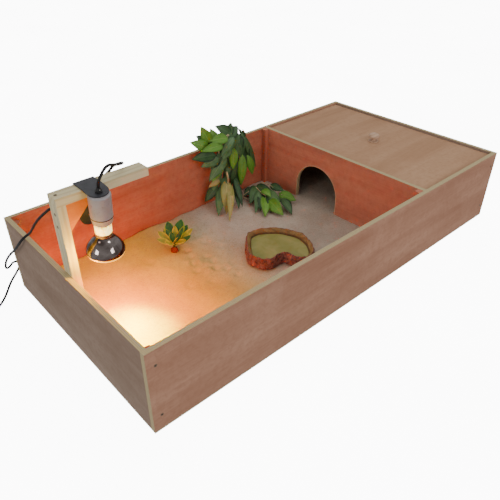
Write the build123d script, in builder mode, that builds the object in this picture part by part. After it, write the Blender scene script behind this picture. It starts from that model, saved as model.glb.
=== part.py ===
"""Tortoise table: an open plywood box on a thin base, with a lidded hide at its right end.

A pine lamp arm stands inside the left end board and carries a porcelain holder with a reflector
bulb on a steel bracket. The run is filled with sand and holds a water bowl, a small plant and an
artificial foliage spray that hooks over the back board.

Millimetres. X runs along the table to the hide, Y from front to back, Z up. The origin is the
centre of the base's underside, on the floor.
"""

from build123d import *
from math import asin, cos, pi, radians, sin, tan
import os

os.makedirs("parts", exist_ok=True)

# Box: driving dimensions
table_length = 1220
table_width = 610
table_height = 208
base_thickness = 4
board_thickness = 12
batten_width = 16
batten_drop = 12
divider_batten_drop = 1
hide_length = 363
overrun = 5
seat_gap = 0.2

# Doorway of the hide
door_width = 160
door_spring_height = 66
door_centre_y = 63

# Lid of the hide
lid_thickness = 9
lid_recess = 7
lid_gap = 1.5
knob_diameter = 33
knob_foot_diameter = 30
knob_neck_diameter = 15
knob_height = 26
knob_foot_height = 4
knob_foot_side_share = 0.6
knob_waist_share = 0.88
knob_head_height = 15
knob_head_shares = ((0.88, 0), (1, 0.32), (0.8, 0.7))
knob_screw_depth = 14

# Countersunk wood screws and base pins
screw_head_radius = 3.6
screw_head_height = 2.6
screw_radius = 1.75
screw_point_radius = 0.45
screw_tip_height = 3
screw_length = 25
screw_bore_gap = 0.1
recess_width = 0.9
recess_length = 3.6
recess_depth = 1.1
screw_height_shares = (0.21, 0.97)
ledge_screw_shares = (0.18, 0.83)
pin_head_radius = 1.8
pin_head_height = 0.6
pin_radius = 0.8
pin_length = 22
pins_along_front = 8
pins_along_end = 4

# Lamp arm
arm_depth = 34
arm_thickness = 18
arm_forward_shift = 9
arm_top_height = 388
arm_reach = 203
gusset_leg = 70
gusset_thickness = 12
gusset_screw_shares = (0.3, 0.7)
arm_screw_length = 50
gusset_screw_length = 38
post_screw_shares = (0.275, 0.765)

# Steel bracket over the beam
bracket_width = 44
bracket_thickness = 2.5
bracket_leg_length = 101
bracket_reach = 26
bracket_nose_setback = 6
bracket_sag_angle = 6
bracket_to_post = 58
bracket_hole_radius = 2.5
bracket_bend_radius = 2
bracket_screw_length = 15
bracket_screw_spacing = 24

# Lamp holder
holder_radius = 22.5
holder_height = 51
holder_wall = 4.5
holder_roof = 6
holder_edge_radius = 4
seam_height = 1.4
seam_inset = 1
skirt_height = 13.6
skirt_foot_radius = 20
shell_radius = 14
shell_wall = 0.4
shell_height = 28
core_height = 6
contact_height = 3
contact_width = 7
terminal_size = 7
terminal_spacing = 13
nipple_radius = 5
nipple_bore = 3.3
nut_width = 14
nut_height = 3.5
grip_foot_radius = 5.6
grip_top_radius = 4.2
grip_height = 6
grip_screw_radius = 1.2
grip_screw_length = 2.4

# Reflector bulb, hung in the holder; its flare is given as shares out and down from the neck
bulb_diameter = 80
bulb_length = 107
cap_radius = 13.2
cap_height = 24
cap_wall = 0.5
cap_insulator_height = 3
cap_contact_radius = 4
cap_contact_height = 1.5
neck_radius = 17.3
neck_height = 27
neck_shoulder_radius = 15.5
neck_shoulder_height = 3.6
glass_wall = 1.2
bulb_flare_shares = ((0.1, 0.13), (0.36, 0.26), (0.84, 0.58), (1, 0.79))
bulb_edge_shares = (0.2, 0.91)
rim_radius_share = 0.925
face_rise = 7
filament_width = 12
filament_radius = 0.8
support_radius = 0.6
bulb_gap = 0.6

# Lamp flex: diameter, coil and plug
flex_diameter = 6
floor_gap = 0.2
bend_share = 0.45
turn_gap = 0.6
flex_tail = 36
coil_outer_radius = 41.25
coil_half_turns_in = 5
coil_half_turns_out = 2
coil_centre = (-775, 280)
gap_sample_count = 900
gap_skip_diameters = 3
relief_length = 30
relief_foot_radius = 5.5
relief_tip_radius = 3.9
plug_length = 36
plug_width = 26
plug_thickness = 19
plug_edge_radius = 4
plug_face_radius = 3.6
plug_pin_radius = 2.4
plug_pin_length = 19
plug_pin_spacing = 19
plug_pin_root = 6

# Sand, bowl and plants
sand_depth = 16
bowl_length = 190
bowl_width = 204
bowl_height = 38
bowl_wall = 11
bowl_floor = 8
bowl_corner_radius = 13
bowl_batter = 7
water_drop = 13
water_gap = 0.2
bowl_centre = (-40, -59)
plant_centre = (-238, 146)
plant_foot_radius = 11
plant_foot_top_radius = 6.6
plant_foot_height = 13
plant_stem_radius = 2.5
plant_leaf_length = 50
plant_leaf_width = 17
plant_leaf_count = 9
plant_leaf_turn = 137.5
plant_low_tilt = 22
plant_high_tilt = 68
plant_root_shares = (0.25, 0.85)
leaf_thickness = 1
leaf_belly_share = 0.42
spray_to_divider = 114
spray_size = 200
spray_leaf_width = 26
spray_stem_radius = 1.6
spray_bend = 4
spray_facing = (-0.4, -0.6, 0.7)
hook_radius = 1.5
hook_bend_radius = 3
hook_collar_radius = 3
hook_gap = 0.4
hook_tail = 26

# Worked out from the above
half_length = table_length / 2
half_width = table_width / 2
inner_half_length = half_length - board_thickness
inner_half_width = half_width - board_thickness
board_height = table_height - base_thickness
divider_x = half_length - hide_length
hide_x = divider_x + board_thickness
lid_top = table_height - lid_recess
lid_bottom = lid_top - lid_thickness
ledge_top = lid_bottom - seat_gap
ledge_middle = ledge_top - batten_width / 2
ledge_bottom = ledge_top - batten_width
sand_top = base_thickness + sand_depth
arm_centre_y = -arm_forward_shift
arm_back_y = arm_centre_y + arm_depth / 2
arm_front_y = arm_centre_y - arm_depth / 2
post_x = -inner_half_length
post_front_x = post_x + arm_thickness
bracket_centre_x = post_front_x + bracket_to_post
beam_bottom = arm_top_height - arm_thickness
plate_bottom = arm_top_height + seat_gap
plate_face = plate_bottom + bracket_thickness
seam_top = arm_top_height - holder_height
skirt_top = seam_top - seam_height
skirt_bottom = skirt_top - skirt_height
core_bottom = skirt_bottom + shell_height
bulb_top = core_bottom - contact_height - bulb_gap
glass_top = bulb_top - cap_contact_height - cap_insulator_height - cap_height
neck_bottom = glass_top - neck_height
face_bottom = bulb_top - bulb_length
rim_height = face_bottom + face_rise
flex_radius = flex_diameter / 2
flex_floor = flex_radius + floor_gap

# The bracket's nose sags from the beam's front edge, so the lamp hangs a little off plumb. Heights
# on the lamp's axis are counted as if it were upright.
sag = radians(bracket_sag_angle)
LAMP_PLATE = Plane(
    (bracket_centre_x, arm_front_y - bracket_reach * cos(sag), plate_bottom - bracket_reach * sin(sag)),
    x_dir=(1, 0, 0),
    z_dir=(0, -sin(sag), cos(sag)),
)
LAMP_AXIS = LAMP_PLATE.offset(-plate_bottom)
BOTTOM = (Align.CENTER, Align.CENTER, Align.MIN)
TOP = (Align.CENTER, Align.CENTER, Align.MAX)


def save(part, name):
    """Labels a finished piece and writes its STEP file."""
    part.label = name
    export_step(part, "parts/" + name + ".step")


def block(low, high):
    """Adds a box between two corners to the part being built."""
    size = Vector(*high) - Vector(*low)
    with Locations(Vector(*low) + size / 2):
        Box(size.X, size.Y, size.Z)


def wood_screws(planes, length):
    """Adds countersunk screws whose heads are flush with the planes and point along their -Z."""
    with Locations(*planes):
        Cone(screw_radius, screw_head_radius, screw_head_height, align=TOP)
        Cylinder(screw_radius, length - screw_tip_height, align=TOP)
    with Locations(*[plane.offset(screw_tip_height - length) for plane in planes]):
        Cone(screw_point_radius, screw_radius, screw_tip_height, align=TOP)
    with Locations(*planes):
        Box(recess_length, recess_width, recess_depth, align=TOP, mode=Mode.SUBTRACT)
        Box(recess_width, recess_length, recess_depth, align=TOP, mode=Mode.SUBTRACT)


def screw_bores(planes, depth):
    """Cuts plain bores for the screws of those planes."""
    with Locations(*planes):
        Hole(screw_radius + screw_bore_gap, depth=depth)


def screw_sinks(planes, depth):
    """Cuts countersunk bores for the screws of those planes."""
    with Locations(*planes):
        Cone(
            screw_radius + screw_bore_gap,
            screw_head_radius + screw_bore_gap,
            screw_head_height,
            align=TOP,
            mode=Mode.SUBTRACT,
        )
        Hole(screw_radius + screw_bore_gap, depth=depth)


def screw_height(share):
    """Height of a board screw above the floor, below the ledges of the lid."""
    return base_thickness + (ledge_bottom - base_thickness) * share


def dome(edge, pole_height):
    """Draws a round cap's half section from its edge to its pole on the axis."""
    rise = pole_height - edge.Y
    ball_radius = (edge.X**2 + rise**2) / (2 * rise)
    half_angle = asin(edge.X / ball_radius) / 2
    middle = (ball_radius * sin(half_angle), pole_height - ball_radius * (1 - cos(half_angle)))
    return ThreePointArc(edge, middle, (0, pole_height))


# Screw places: each plane lies on a head, with its Z pointing out of the wood
corner_screw_x = inner_half_length - batten_width / 2
front_screw_planes = [
    Plane((end * corner_screw_x, -half_width, screw_height(share)), x_dir=(1, 0, 0), z_dir=(0, -1, 0))
    for end in (-1, 1)
    for share in screw_height_shares
]
back_screw_planes = [
    Plane((end * corner_screw_x, half_width, screw_height(share)), x_dir=(1, 0, 0), z_dir=(0, 1, 0))
    for end in (-1, 1)
    for share in screw_height_shares
]
divider_screw_planes = [
    Plane(
        (hide_x, side * (inner_half_width - batten_width / 2), screw_height(share)),
        x_dir=(0, 1, 0),
        z_dir=(1, 0, 0),
    )
    for side in (-1, 1)
    for share in screw_height_shares
]
ledge_screw_x = [hide_x + (inner_half_length - hide_x) * share for share in ledge_screw_shares]
ledge_front_planes = [
    Plane((x, batten_width - inner_half_width, ledge_middle), x_dir=(1, 0, 0), z_dir=(0, 1, 0))
    for x in ledge_screw_x
]
ledge_back_planes = [
    Plane((x, inner_half_width - batten_width, ledge_middle), x_dir=(1, 0, 0), z_dir=(0, -1, 0))
    for x in ledge_screw_x
]
ledge_end_planes = [
    Plane(
        (inner_half_length - batten_width, side * half_width / 2, ledge_middle),
        x_dir=(0, 1, 0),
        z_dir=(-1, 0, 0),
    )
    for side in (-1, 1)
]
post_screw_planes = [
    Plane(
        (post_front_x, arm_centre_y, base_thickness + board_height * share),
        x_dir=(0, 1, 0),
        z_dir=(1, 0, 0),
    )
    for share in post_screw_shares
]
gusset_screw_planes = [
    Plane((post_x, arm_centre_y, beam_bottom - gusset_leg * share), x_dir=(0, 1, 0), z_dir=(-1, 0, 0))
    for share in gusset_screw_shares
]
beam_screw_planes = [
    Plane((post_x + arm_thickness / 2, arm_centre_y, arm_top_height), x_dir=(1, 0, 0), z_dir=(0, 0, 1))
]
leg_back_y = arm_back_y + seat_gap + bracket_thickness
bracket_screw_planes = [
    Plane(
        (bracket_centre_x + side * bracket_screw_spacing / 2, leg_back_y, beam_bottom + arm_thickness / 2),
        x_dir=(1, 0, 0),
        z_dir=(0, 1, 0),
    )
    for side in (-1, 1)
]

# Places of the base pins: under the middle of each board's bottom edge
front_pin_step = table_length / pins_along_front
end_pin_step = table_width / pins_along_end
pin_points = [
    ((number + 0.5) * front_pin_step - half_length, side * (half_width - board_thickness / 2))
    for side in (-1, 1)
    for number in range(pins_along_front)
]
pin_points += [
    (side * (half_length - board_thickness / 2), (number + 0.5) * end_pin_step - half_width)
    for side in (-1, 1)
    for number in range(pins_along_end)
]
pin_planes = [Plane((x, y, 0), x_dir=(1, 0, 0), z_dir=(0, 0, -1)) for x, y in pin_points]


def pin_bores():
    """Cuts the bores of the base pins."""
    with Locations(*pin_planes):
        Cylinder(pin_head_radius + screw_bore_gap, pin_head_height, align=TOP, mode=Mode.SUBTRACT)
        Cylinder(pin_radius + screw_bore_gap, pin_length, align=TOP, mode=Mode.SUBTRACT)


# Base panel: a thin sheet under the whole box
with BuildPart() as base_panel:
    block((-half_length, -half_width, 0), (half_length, half_width, base_thickness))
    pin_bores()
save(base_panel.part, "base_panel")

# Front and back boards run the full length; the end boards stand between them
with BuildPart() as front_board:
    block((-half_length, -half_width, base_thickness), (half_length, -inner_half_width, table_height))
    screw_sinks(front_screw_planes, board_thickness + overrun)
    screw_bores(ledge_front_planes, screw_length)
    pin_bores()
save(front_board.part, "front_board")

with BuildPart() as back_board:
    block((-half_length, inner_half_width, base_thickness), (half_length, half_width, table_height))
    screw_sinks(back_screw_planes, board_thickness + overrun)
    screw_bores(ledge_back_planes, screw_length)
    pin_bores()
save(back_board.part, "back_board")

with BuildPart() as left_end_board:
    left_end_low = (-half_length, -inner_half_width, base_thickness)
    block(left_end_low, (-inner_half_length, inner_half_width, table_height))
    screw_bores(post_screw_planes, screw_length)
    pin_bores()
save(left_end_board.part, "left_end_board")

with BuildPart() as right_end_board:
    right_end_low = (inner_half_length, -inner_half_width, base_thickness)
    block(right_end_low, (half_length, inner_half_width, table_height))
    screw_bores(ledge_end_planes, screw_length)
    pin_bores()
save(right_end_board.part, "right_end_board")

# Divider with the arched doorway cut up from its bottom edge
with BuildPart() as hide_divider:
    block((divider_x, -inner_half_width, base_thickness), (hide_x, inner_half_width, table_height))
    with BuildSketch(Plane((divider_x, door_centre_y, 0), x_dir=(0, 1, 0), z_dir=(1, 0, 0))):
        Rectangle(door_width, door_spring_height, align=(Align.CENTER, Align.MIN))
        with Locations((0, door_spring_height)):
            Circle(door_width / 2)
    extrude(amount=board_thickness, mode=Mode.SUBTRACT)
    screw_sinks(divider_screw_planes, board_thickness + overrun)
save(hide_divider.part, "hide_divider")


def batten(x_low, side, top, planes):
    """Adds an upright batten on the inside of the front or back board, bored for its screws."""
    outer = side * inner_half_width
    inner = side * (inner_half_width - batten_width)
    low = (x_low, min(outer, inner), base_thickness)
    high = (x_low + batten_width, max(outer, inner), top)
    block(low, high)
    screw_bores(planes, screw_length)


# Corner battens stop short of the rim, and under the lid's ledges at the hide end; the divider's
# battens reach up to it
batten_top = table_height - batten_drop
divider_batten_top = table_height - divider_batten_drop
left_batten_x = -inner_half_length
right_batten_x = inner_half_length - batten_width

with BuildPart() as corner_batten_front_left:
    batten(left_batten_x, -1, batten_top, front_screw_planes)
save(corner_batten_front_left.part, "corner_batten_front_left")

with BuildPart() as corner_batten_back_left:
    batten(left_batten_x, 1, batten_top, back_screw_planes)
save(corner_batten_back_left.part, "corner_batten_back_left")

with BuildPart() as corner_batten_front_right:
    batten(right_batten_x, -1, ledge_bottom, front_screw_planes)
save(corner_batten_front_right.part, "corner_batten_front_right")

with BuildPart() as corner_batten_back_right:
    batten(right_batten_x, 1, ledge_bottom, back_screw_planes)
save(corner_batten_back_right.part, "corner_batten_back_right")

with BuildPart() as divider_batten_front:
    batten(divider_x - batten_width, -1, divider_batten_top, divider_screw_planes)
save(divider_batten_front.part, "divider_batten_front")

with BuildPart() as divider_batten_back:
    batten(divider_x - batten_width, 1, divider_batten_top, divider_screw_planes)
save(divider_batten_back.part, "divider_batten_back")

# Ledges that carry the lid on three sides
ledge_inner_y = inner_half_width - batten_width

with BuildPart() as lid_ledge_front:
    block((hide_x, -inner_half_width, ledge_bottom), (inner_half_length, -ledge_inner_y, ledge_top))
    screw_sinks(ledge_front_planes, batten_width + overrun)
save(lid_ledge_front.part, "lid_ledge_front")

with BuildPart() as lid_ledge_back:
    block((hide_x, ledge_inner_y, ledge_bottom), (inner_half_length, inner_half_width, ledge_top))
    screw_sinks(ledge_back_planes, batten_width + overrun)
save(lid_ledge_back.part, "lid_ledge_back")

with BuildPart() as lid_ledge_end:
    block((right_batten_x, -ledge_inner_y, ledge_bottom), (inner_half_length, ledge_inner_y, ledge_top))
    screw_sinks(ledge_end_planes, batten_width + overrun)
save(lid_ledge_end.part, "lid_ledge_end")

with BuildPart() as board_screws:
    wood_screws(front_screw_planes + back_screw_planes, screw_length)
save(board_screws.part, "board_screws")

with BuildPart() as divider_screws:
    wood_screws(divider_screw_planes, screw_length)
save(divider_screws.part, "divider_screws")

with BuildPart() as ledge_screws:
    wood_screws(ledge_front_planes + ledge_back_planes + ledge_end_planes, screw_length)
save(ledge_screws.part, "ledge_screws")

with BuildPart() as base_pins:
    with Locations(*pin_planes):
        Cylinder(pin_head_radius, pin_head_height, align=TOP)
        Cylinder(pin_radius, pin_length, align=TOP)
save(base_pins.part, "base_pins")

# Lid of the hide, with a turned knob screwed on from below
lid_centre_x = (hide_x + inner_half_length) / 2
knob_screw_planes = [Plane((lid_centre_x, 0, lid_bottom), x_dir=(1, 0, 0), z_dir=(0, 0, -1))]
knob_screw_length = lid_thickness + knob_screw_depth

with BuildPart() as lid_panel:
    lid_low = (hide_x + lid_gap, lid_gap - inner_half_width, lid_bottom)
    block(lid_low, (inner_half_length - lid_gap, inner_half_width - lid_gap, lid_top))
    screw_sinks(knob_screw_planes, lid_thickness + overrun)
save(lid_panel.part, "lid_panel")

with BuildPart() as lid_knob:
    with BuildSketch(Plane((lid_centre_x, 0, lid_top), x_dir=(1, 0, 0), z_dir=(0, -1, 0))):
        with BuildLine():
            head_foot = knob_height - knob_head_height
            head_under, head_widest, head_brow = [
                (knob_diameter / 2 * out, head_foot + knob_head_height * up)
                for out, up in knob_head_shares
            ]
            waist = (knob_neck_diameter / 2 * knob_waist_share, (knob_foot_height + head_foot) / 2)
            foot_edge = Line((0, 0), (knob_foot_diameter / 2, 0))
            foot_top = (knob_foot_diameter / 2, knob_foot_height * knob_foot_side_share)
            foot_side = Line(foot_edge @ 1, foot_top)
            foot_round = Line(foot_side @ 1, (knob_neck_diameter / 2, knob_foot_height))
            neck = ThreePointArc(foot_round @ 1, waist, head_under)
            brow = ThreePointArc(neck @ 1, head_widest, head_brow)
            crown = dome(brow @ 1, knob_height)
            Line(crown @ 1, (0, 0))
        make_face()
    revolve(axis=Axis((lid_centre_x, 0, 0), (0, 0, 1)))
    with Locations(knob_screw_planes[0].offset(-lid_thickness)):
        Hole(screw_radius + screw_bore_gap, depth=knob_screw_depth + screw_bore_gap)
save(lid_knob.part, "lid_knob")

with BuildPart() as lid_knob_screw:
    wood_screws(knob_screw_planes, knob_screw_length)
save(lid_knob_screw.part, "lid_knob_screw")

# Lamp arm: a post against the left end board, a beam on top and a plywood gusset in the corner
with BuildPart() as lamp_post:
    block((post_x, arm_front_y, base_thickness), (post_front_x, arm_back_y, beam_bottom))
    screw_sinks(post_screw_planes, arm_thickness + overrun)
    screw_sinks(gusset_screw_planes, arm_thickness + overrun)
    screw_bores(beam_screw_planes, arm_screw_length)
save(lamp_post.part, "lamp_post")

with BuildPart() as lamp_beam:
    block((post_x, arm_front_y, beam_bottom), (post_x + arm_reach, arm_back_y, arm_top_height))
    screw_sinks(beam_screw_planes, arm_thickness + overrun)
    screw_bores(bracket_screw_planes, bracket_screw_length)
save(lamp_beam.part, "lamp_beam")

with BuildPart() as lamp_gusset:
    gusset_corner = (post_front_x, arm_centre_y - gusset_thickness / 2, beam_bottom)
    with BuildSketch(Plane(gusset_corner, x_dir=(1, 0, 0), z_dir=(0, 1, 0))):
        with BuildLine():
            Polyline((0, 0), (gusset_leg, 0), (0, gusset_leg), close=True)
        make_face()
    extrude(amount=gusset_thickness)
    screw_bores(gusset_screw_planes, gusset_screw_length)
save(lamp_gusset.part, "lamp_gusset")

with BuildPart() as arm_screws:
    wood_screws(beam_screw_planes, arm_screw_length)
    wood_screws(gusset_screw_planes, gusset_screw_length)
    wood_screws(post_screw_planes, screw_length)
save(arm_screws.part, "arm_screws")

# Bracket: a plate over the beam with a sagging round nose in front and a leg behind
nose_tip = bracket_nose_setback - bracket_width / 2
nose_under = LAMP_PLATE.from_local_coords(Vector(0, nose_tip, 0))
nose_over = LAMP_PLATE.from_local_coords(Vector(0, nose_tip, bracket_thickness))

with BuildPart() as lamp_bracket:
    with BuildSketch(Plane((bracket_centre_x, 0, 0), x_dir=(0, 1, 0), z_dir=(1, 0, 0))):
        with BuildLine():
            Polyline(
                (nose_under.Y, nose_under.Z),
                (arm_front_y, plate_bottom),
                (leg_back_y, plate_bottom),
                (leg_back_y, plate_face),
                (arm_front_y - bracket_thickness * tan(sag / 2), plate_face),
                (nose_over.Y, nose_over.Z),
                close=True,
            )
        make_face()
    extrude(amount=bracket_width / 2, both=True)
    with BuildSketch(LAMP_PLATE):
        with Locations((0, bracket_nose_setback)):
            Rectangle(bracket_width, bracket_width / 2, align=(Align.CENTER, Align.MAX))
            Circle(bracket_width / 2, mode=Mode.SUBTRACT)
    extrude(amount=bracket_thickness, mode=Mode.SUBTRACT)
    leg_plane = Plane((bracket_centre_x, leg_back_y, plate_face), x_dir=(1, 0, 0), z_dir=(0, -1, 0))
    with BuildSketch(leg_plane):
        straight_leg = bracket_leg_length - bracket_width / 2
        Rectangle(bracket_width, straight_leg, align=(Align.CENTER, Align.MAX))
        with Locations((0, -straight_leg)):
            Circle(bracket_width / 2)
            Circle(bracket_hole_radius, mode=Mode.SUBTRACT)
    extrude(amount=bracket_thickness)
    top_back_edge = lamp_bracket.edges().filter_by(Axis.X).sort_by(Axis.Z)[-2:].sort_by(Axis.Y)[-1]
    fillet(top_back_edge, bracket_bend_radius)
    with Locations(LAMP_AXIS.offset(plate_face)):
        Hole(nipple_radius + screw_bore_gap, depth=bracket_thickness + overrun)
    screw_sinks(bracket_screw_planes, bracket_thickness + overrun)
save(lamp_bracket.part, "lamp_bracket")

with BuildPart() as bracket_screws:
    wood_screws(bracket_screw_planes, bracket_screw_length)
save(bracket_screws.part, "bracket_screws")

# Threaded nipple through the bracket, its nut and the cord grip
grip_bottom = plate_face + nut_height
grip_top = grip_bottom + grip_height
nipple_bottom = arm_top_height - holder_roof

with BuildPart() as holder_nipple:
    with BuildSketch(LAMP_AXIS.offset(nipple_bottom)):
        Circle(nipple_radius)
        Circle(nipple_bore, mode=Mode.SUBTRACT)
    extrude(amount=grip_bottom - nipple_bottom)
save(holder_nipple.part, "holder_nipple")

with BuildPart() as nipple_nut:
    with BuildSketch(LAMP_AXIS.offset(plate_face)):
        RegularPolygon(nut_width / 2, 6, major_radius=False)
        Circle(nipple_radius + screw_bore_gap, mode=Mode.SUBTRACT)
    extrude(amount=nut_height)
save(nipple_nut.part, "nipple_nut")

grip_screw_plane = Plane(
    LAMP_AXIS.from_local_coords(Vector(0, -grip_foot_radius, grip_bottom + grip_height / 2)),
    x_dir=LAMP_AXIS.x_dir,
    z_dir=-LAMP_AXIS.y_dir,
)

with BuildPart() as cord_grip:
    with Locations(LAMP_AXIS.offset(grip_bottom)):
        Cone(grip_foot_radius, grip_top_radius, grip_height, align=BOTTOM)
    with Locations(LAMP_AXIS.offset(grip_top)):
        Hole(nipple_bore, depth=grip_height)
    with Locations(grip_screw_plane):
        Hole(grip_screw_radius + screw_bore_gap, depth=grip_screw_length)
save(cord_grip.part, "cord_grip")

with BuildPart() as grip_screw:
    with Locations(grip_screw_plane):
        Cylinder(grip_screw_radius, grip_screw_length, align=TOP)
        Box(recess_length, recess_width, recess_depth / 2, align=TOP, mode=Mode.SUBTRACT)
save(grip_screw.part, "grip_screw")

# Porcelain holder: an upper casing, a dark seam ring and a screwed skirt
with BuildPart() as holder_body:
    with Locations(LAMP_AXIS.offset(seam_top)):
        Cylinder(holder_radius, holder_height, align=BOTTOM)
    fillet(holder_body.faces().sort_by(Axis.Z)[-1].edges(), holder_edge_radius)
    with Locations(LAMP_AXIS.offset(seam_top)):
        Cylinder(holder_radius - holder_wall, holder_height - holder_roof, align=BOTTOM, mode=Mode.SUBTRACT)
    with Locations(LAMP_AXIS.offset(arm_top_height)):
        Hole(nipple_radius + screw_bore_gap, depth=holder_roof + overrun)
save(holder_body.part, "holder_body")

with BuildPart() as holder_seam:
    with BuildSketch(LAMP_AXIS.offset(skirt_top)):
        Circle(holder_radius - seam_inset)
        Circle(holder_radius - holder_wall, mode=Mode.SUBTRACT)
    extrude(amount=seam_height)
save(holder_seam.part, "holder_seam")

skirt_bore = neck_radius + bulb_gap
with BuildPart() as holder_skirt:
    with Locations(LAMP_AXIS.offset(skirt_bottom)):
        Cone(skirt_foot_radius, holder_radius, skirt_height, align=BOTTOM)
        Cylinder(skirt_bore, skirt_height, align=BOTTOM, mode=Mode.SUBTRACT)
save(holder_skirt.part, "holder_skirt")

# Inside the holder: the core, its terminals, the screw shell and the centre contact
with BuildPart() as socket_core:
    with Locations(LAMP_AXIS.offset(core_bottom)):
        Cylinder(holder_radius - holder_wall - seat_gap, core_height, align=BOTTOM)
save(socket_core.part, "socket_core")

with BuildPart() as socket_shell:
    with BuildSketch(LAMP_AXIS.offset(skirt_bottom)):
        Circle(shell_radius + shell_wall)
        Circle(shell_radius, mode=Mode.SUBTRACT)
    extrude(amount=shell_height)
save(socket_shell.part, "socket_shell")

with BuildPart() as socket_contact:
    with Locations(LAMP_AXIS.offset(core_bottom)):
        Box(contact_width, contact_width, contact_height, align=TOP)
save(socket_contact.part, "socket_contact")

with BuildPart() as socket_terminals:
    with Locations(LAMP_AXIS.offset(core_bottom + core_height)):
        with GridLocations(terminal_spacing, 0, 2, 1):
            Box(terminal_size, terminal_size, terminal_size, align=BOTTOM)
save(socket_terminals.part, "socket_terminals")

# Bulb: cap, insulator, tip contact, glass envelope and filament on its supports
with BuildPart() as bulb_cap:
    with Locations(LAMP_AXIS.offset(glass_top)):
        Cylinder(cap_radius, cap_height, align=BOTTOM)
        Cylinder(cap_radius - cap_wall, cap_height, align=BOTTOM, mode=Mode.SUBTRACT)
save(bulb_cap.part, "bulb_cap")

cap_top = glass_top + cap_height
with BuildPart() as bulb_insulator:
    with Locations(LAMP_AXIS.offset(cap_top)):
        Cone(cap_radius, cap_contact_radius, cap_insulator_height, align=BOTTOM)
save(bulb_insulator.part, "bulb_insulator")

with BuildPart() as bulb_contact:
    with Locations(LAMP_AXIS.offset(cap_top + cap_insulator_height)):
        Cylinder(cap_contact_radius, cap_contact_height, align=BOTTOM)
save(bulb_contact.part, "bulb_contact")


def bulb_half_profile(inset):
    """Draws half of the bulb's section from the neck down to the face, drawn in by inset."""
    widest = bulb_diameter / 2 - inset
    neck = neck_radius - inset
    rim = bulb_diameter / 2 * rim_radius_share - inset
    flare_height = neck_bottom - rim_height
    bend, hip, belly, edge = [
        (neck + (widest - neck) * out, neck_bottom - flare_height * down) for out, down in bulb_flare_shares
    ]
    edge_out, edge_down = bulb_edge_shares
    edge_middle = (widest - (widest - rim) * edge_out, neck_bottom - flare_height * edge_down)
    top = glass_top - inset
    crown = Line((0, top), (neck_shoulder_radius - inset, top))
    shoulder = Line(crown @ 1, (neck, glass_top - neck_shoulder_height))
    neck_side = Line(shoulder @ 1, (neck, neck_bottom))
    hollow = ThreePointArc(neck_side @ 1, bend, hip)
    swell = ThreePointArc(hollow @ 1, belly, edge)
    rim_side = ThreePointArc(swell @ 1, edge_middle, (rim, rim_height))
    face = dome(rim_side @ 1, face_bottom + inset)
    Line(face @ 1, crown @ 0)


bulb_section = Plane(LAMP_AXIS.origin, x_dir=LAMP_AXIS.x_dir, z_dir=-LAMP_AXIS.y_dir)
bulb_axis = Axis(LAMP_AXIS.origin, LAMP_AXIS.z_dir)
with BuildPart() as bulb_glass:
    with BuildSketch(bulb_section):
        with BuildLine():
            bulb_half_profile(0)
        make_face()
    revolve(axis=bulb_axis)
    with BuildSketch(bulb_section):
        with BuildLine():
            bulb_half_profile(glass_wall)
        make_face()
    revolve(axis=bulb_axis, mode=Mode.SUBTRACT)
save(bulb_glass.part, "bulb_glass")

filament_height = neck_bottom + neck_height / 3
support_top = glass_top - glass_wall - seat_gap
with BuildPart() as bulb_filament:
    with Locations(LAMP_AXIS.offset(filament_height)):
        Cylinder(filament_radius, filament_width, rotation=(0, 90, 0))
        with GridLocations(filament_width - 2 * support_radius, 0, 2, 1):
            Cylinder(support_radius, support_top - filament_height, align=BOTTOM)
save(bulb_filament.part, "bulb_filament")

# Lamp flex: the route of its free stretch, from the cord grip over the beam to the coil
flex_route = [
    (-522, -52.7, 393.2),
    (-522, -54, 405.2),
    (-518.8, -55.1, 413.8),
    (-511.8, -53.1, 421.3),
    (-500.8, -45.6, 425.9),
    (-485.8, -35.1, 425.9),
    (-468, -24, 416.5),
    (-450, -10, 407),
    (-436, 3, 400),
    (-429, 16, 394.5),
    (-432, 28, 389.5),
    (-441.5, 36, 384.5),
    (-453, 37.5, 372),
    (-475, 36.5, 364.5),
    (-501, 35.5, 358),
    (-530, 37, 352),
    (-557, 43, 344),
    (-577, 57, 329),
    (-589, 78, 310),
    (-598, 106, 283),
    (-602, 136, 251),
    (-602, 162, 227),
    (-610, 172, 218),
    (-619, 185, 203),
    (-622, 212, 176),
    (-622, 249, 146),
    (-622, 299, 108),
    (-622, 340, 73),
    (-620, 375, 40),
    (-619, 394, 14),
    (-612.5, 404, 3.2),
    (-602, 410, 3.2),
    (-593, 421, 3.2),
    (-583.3, 422.1, 3.2),
    (-575.5, 416.2, 3.2),
    (-574, 406.5, 3.2),
    (-583.8, 392.6, 3.2),
    (-601, 370, 3.2),
    (-621, 349, 3.2),
    (-638, 327, 3.2),
    (-655, 301, 3.2),
    (-675, 275, 3.2),
    (-701, 252, 3.2),
    (-735, 238.75, 3.2),
    (-769, 238.75, 3.2),
]


def bend_radii(points):
    """Radius of the arc at each corner of a route, as large as its two runs allow."""
    radii = []
    for before, corner, after in zip(points, points[1:], points[2:]):
        arriving = Vector(*corner) - Vector(*before)
        leaving = Vector(*after) - Vector(*corner)
        half_turn = radians(arriving.get_angle(leaving) / 2)
        radii.append(bend_share * min(arriving.length, leaving.length) / tan(half_turn))
    return radii


flex_radii = bend_radii(flex_route)
print("flex bend radii", [round(radius, 1) for radius in flex_radii])

with BuildPart() as lamp_flex:
    with BuildLine() as flex_path:
        FilletPolyline(*flex_route, radius=flex_radii)
    with BuildSketch(Plane(origin=flex_path.wire() @ 0, z_dir=flex_path.wire() % 0)):
        Circle(flex_radius)
    sweep()
free_length = flex_path.wire().length
flex_section = pi * flex_radius**2
print("flex free length", round(free_length, 1))
flex_volume_ratio = lamp_flex.part.volume / (flex_section * free_length)
print("flex volume over section times length", round(flex_volume_ratio, 5))
save(lamp_flex.part, "lamp_flex")

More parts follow.
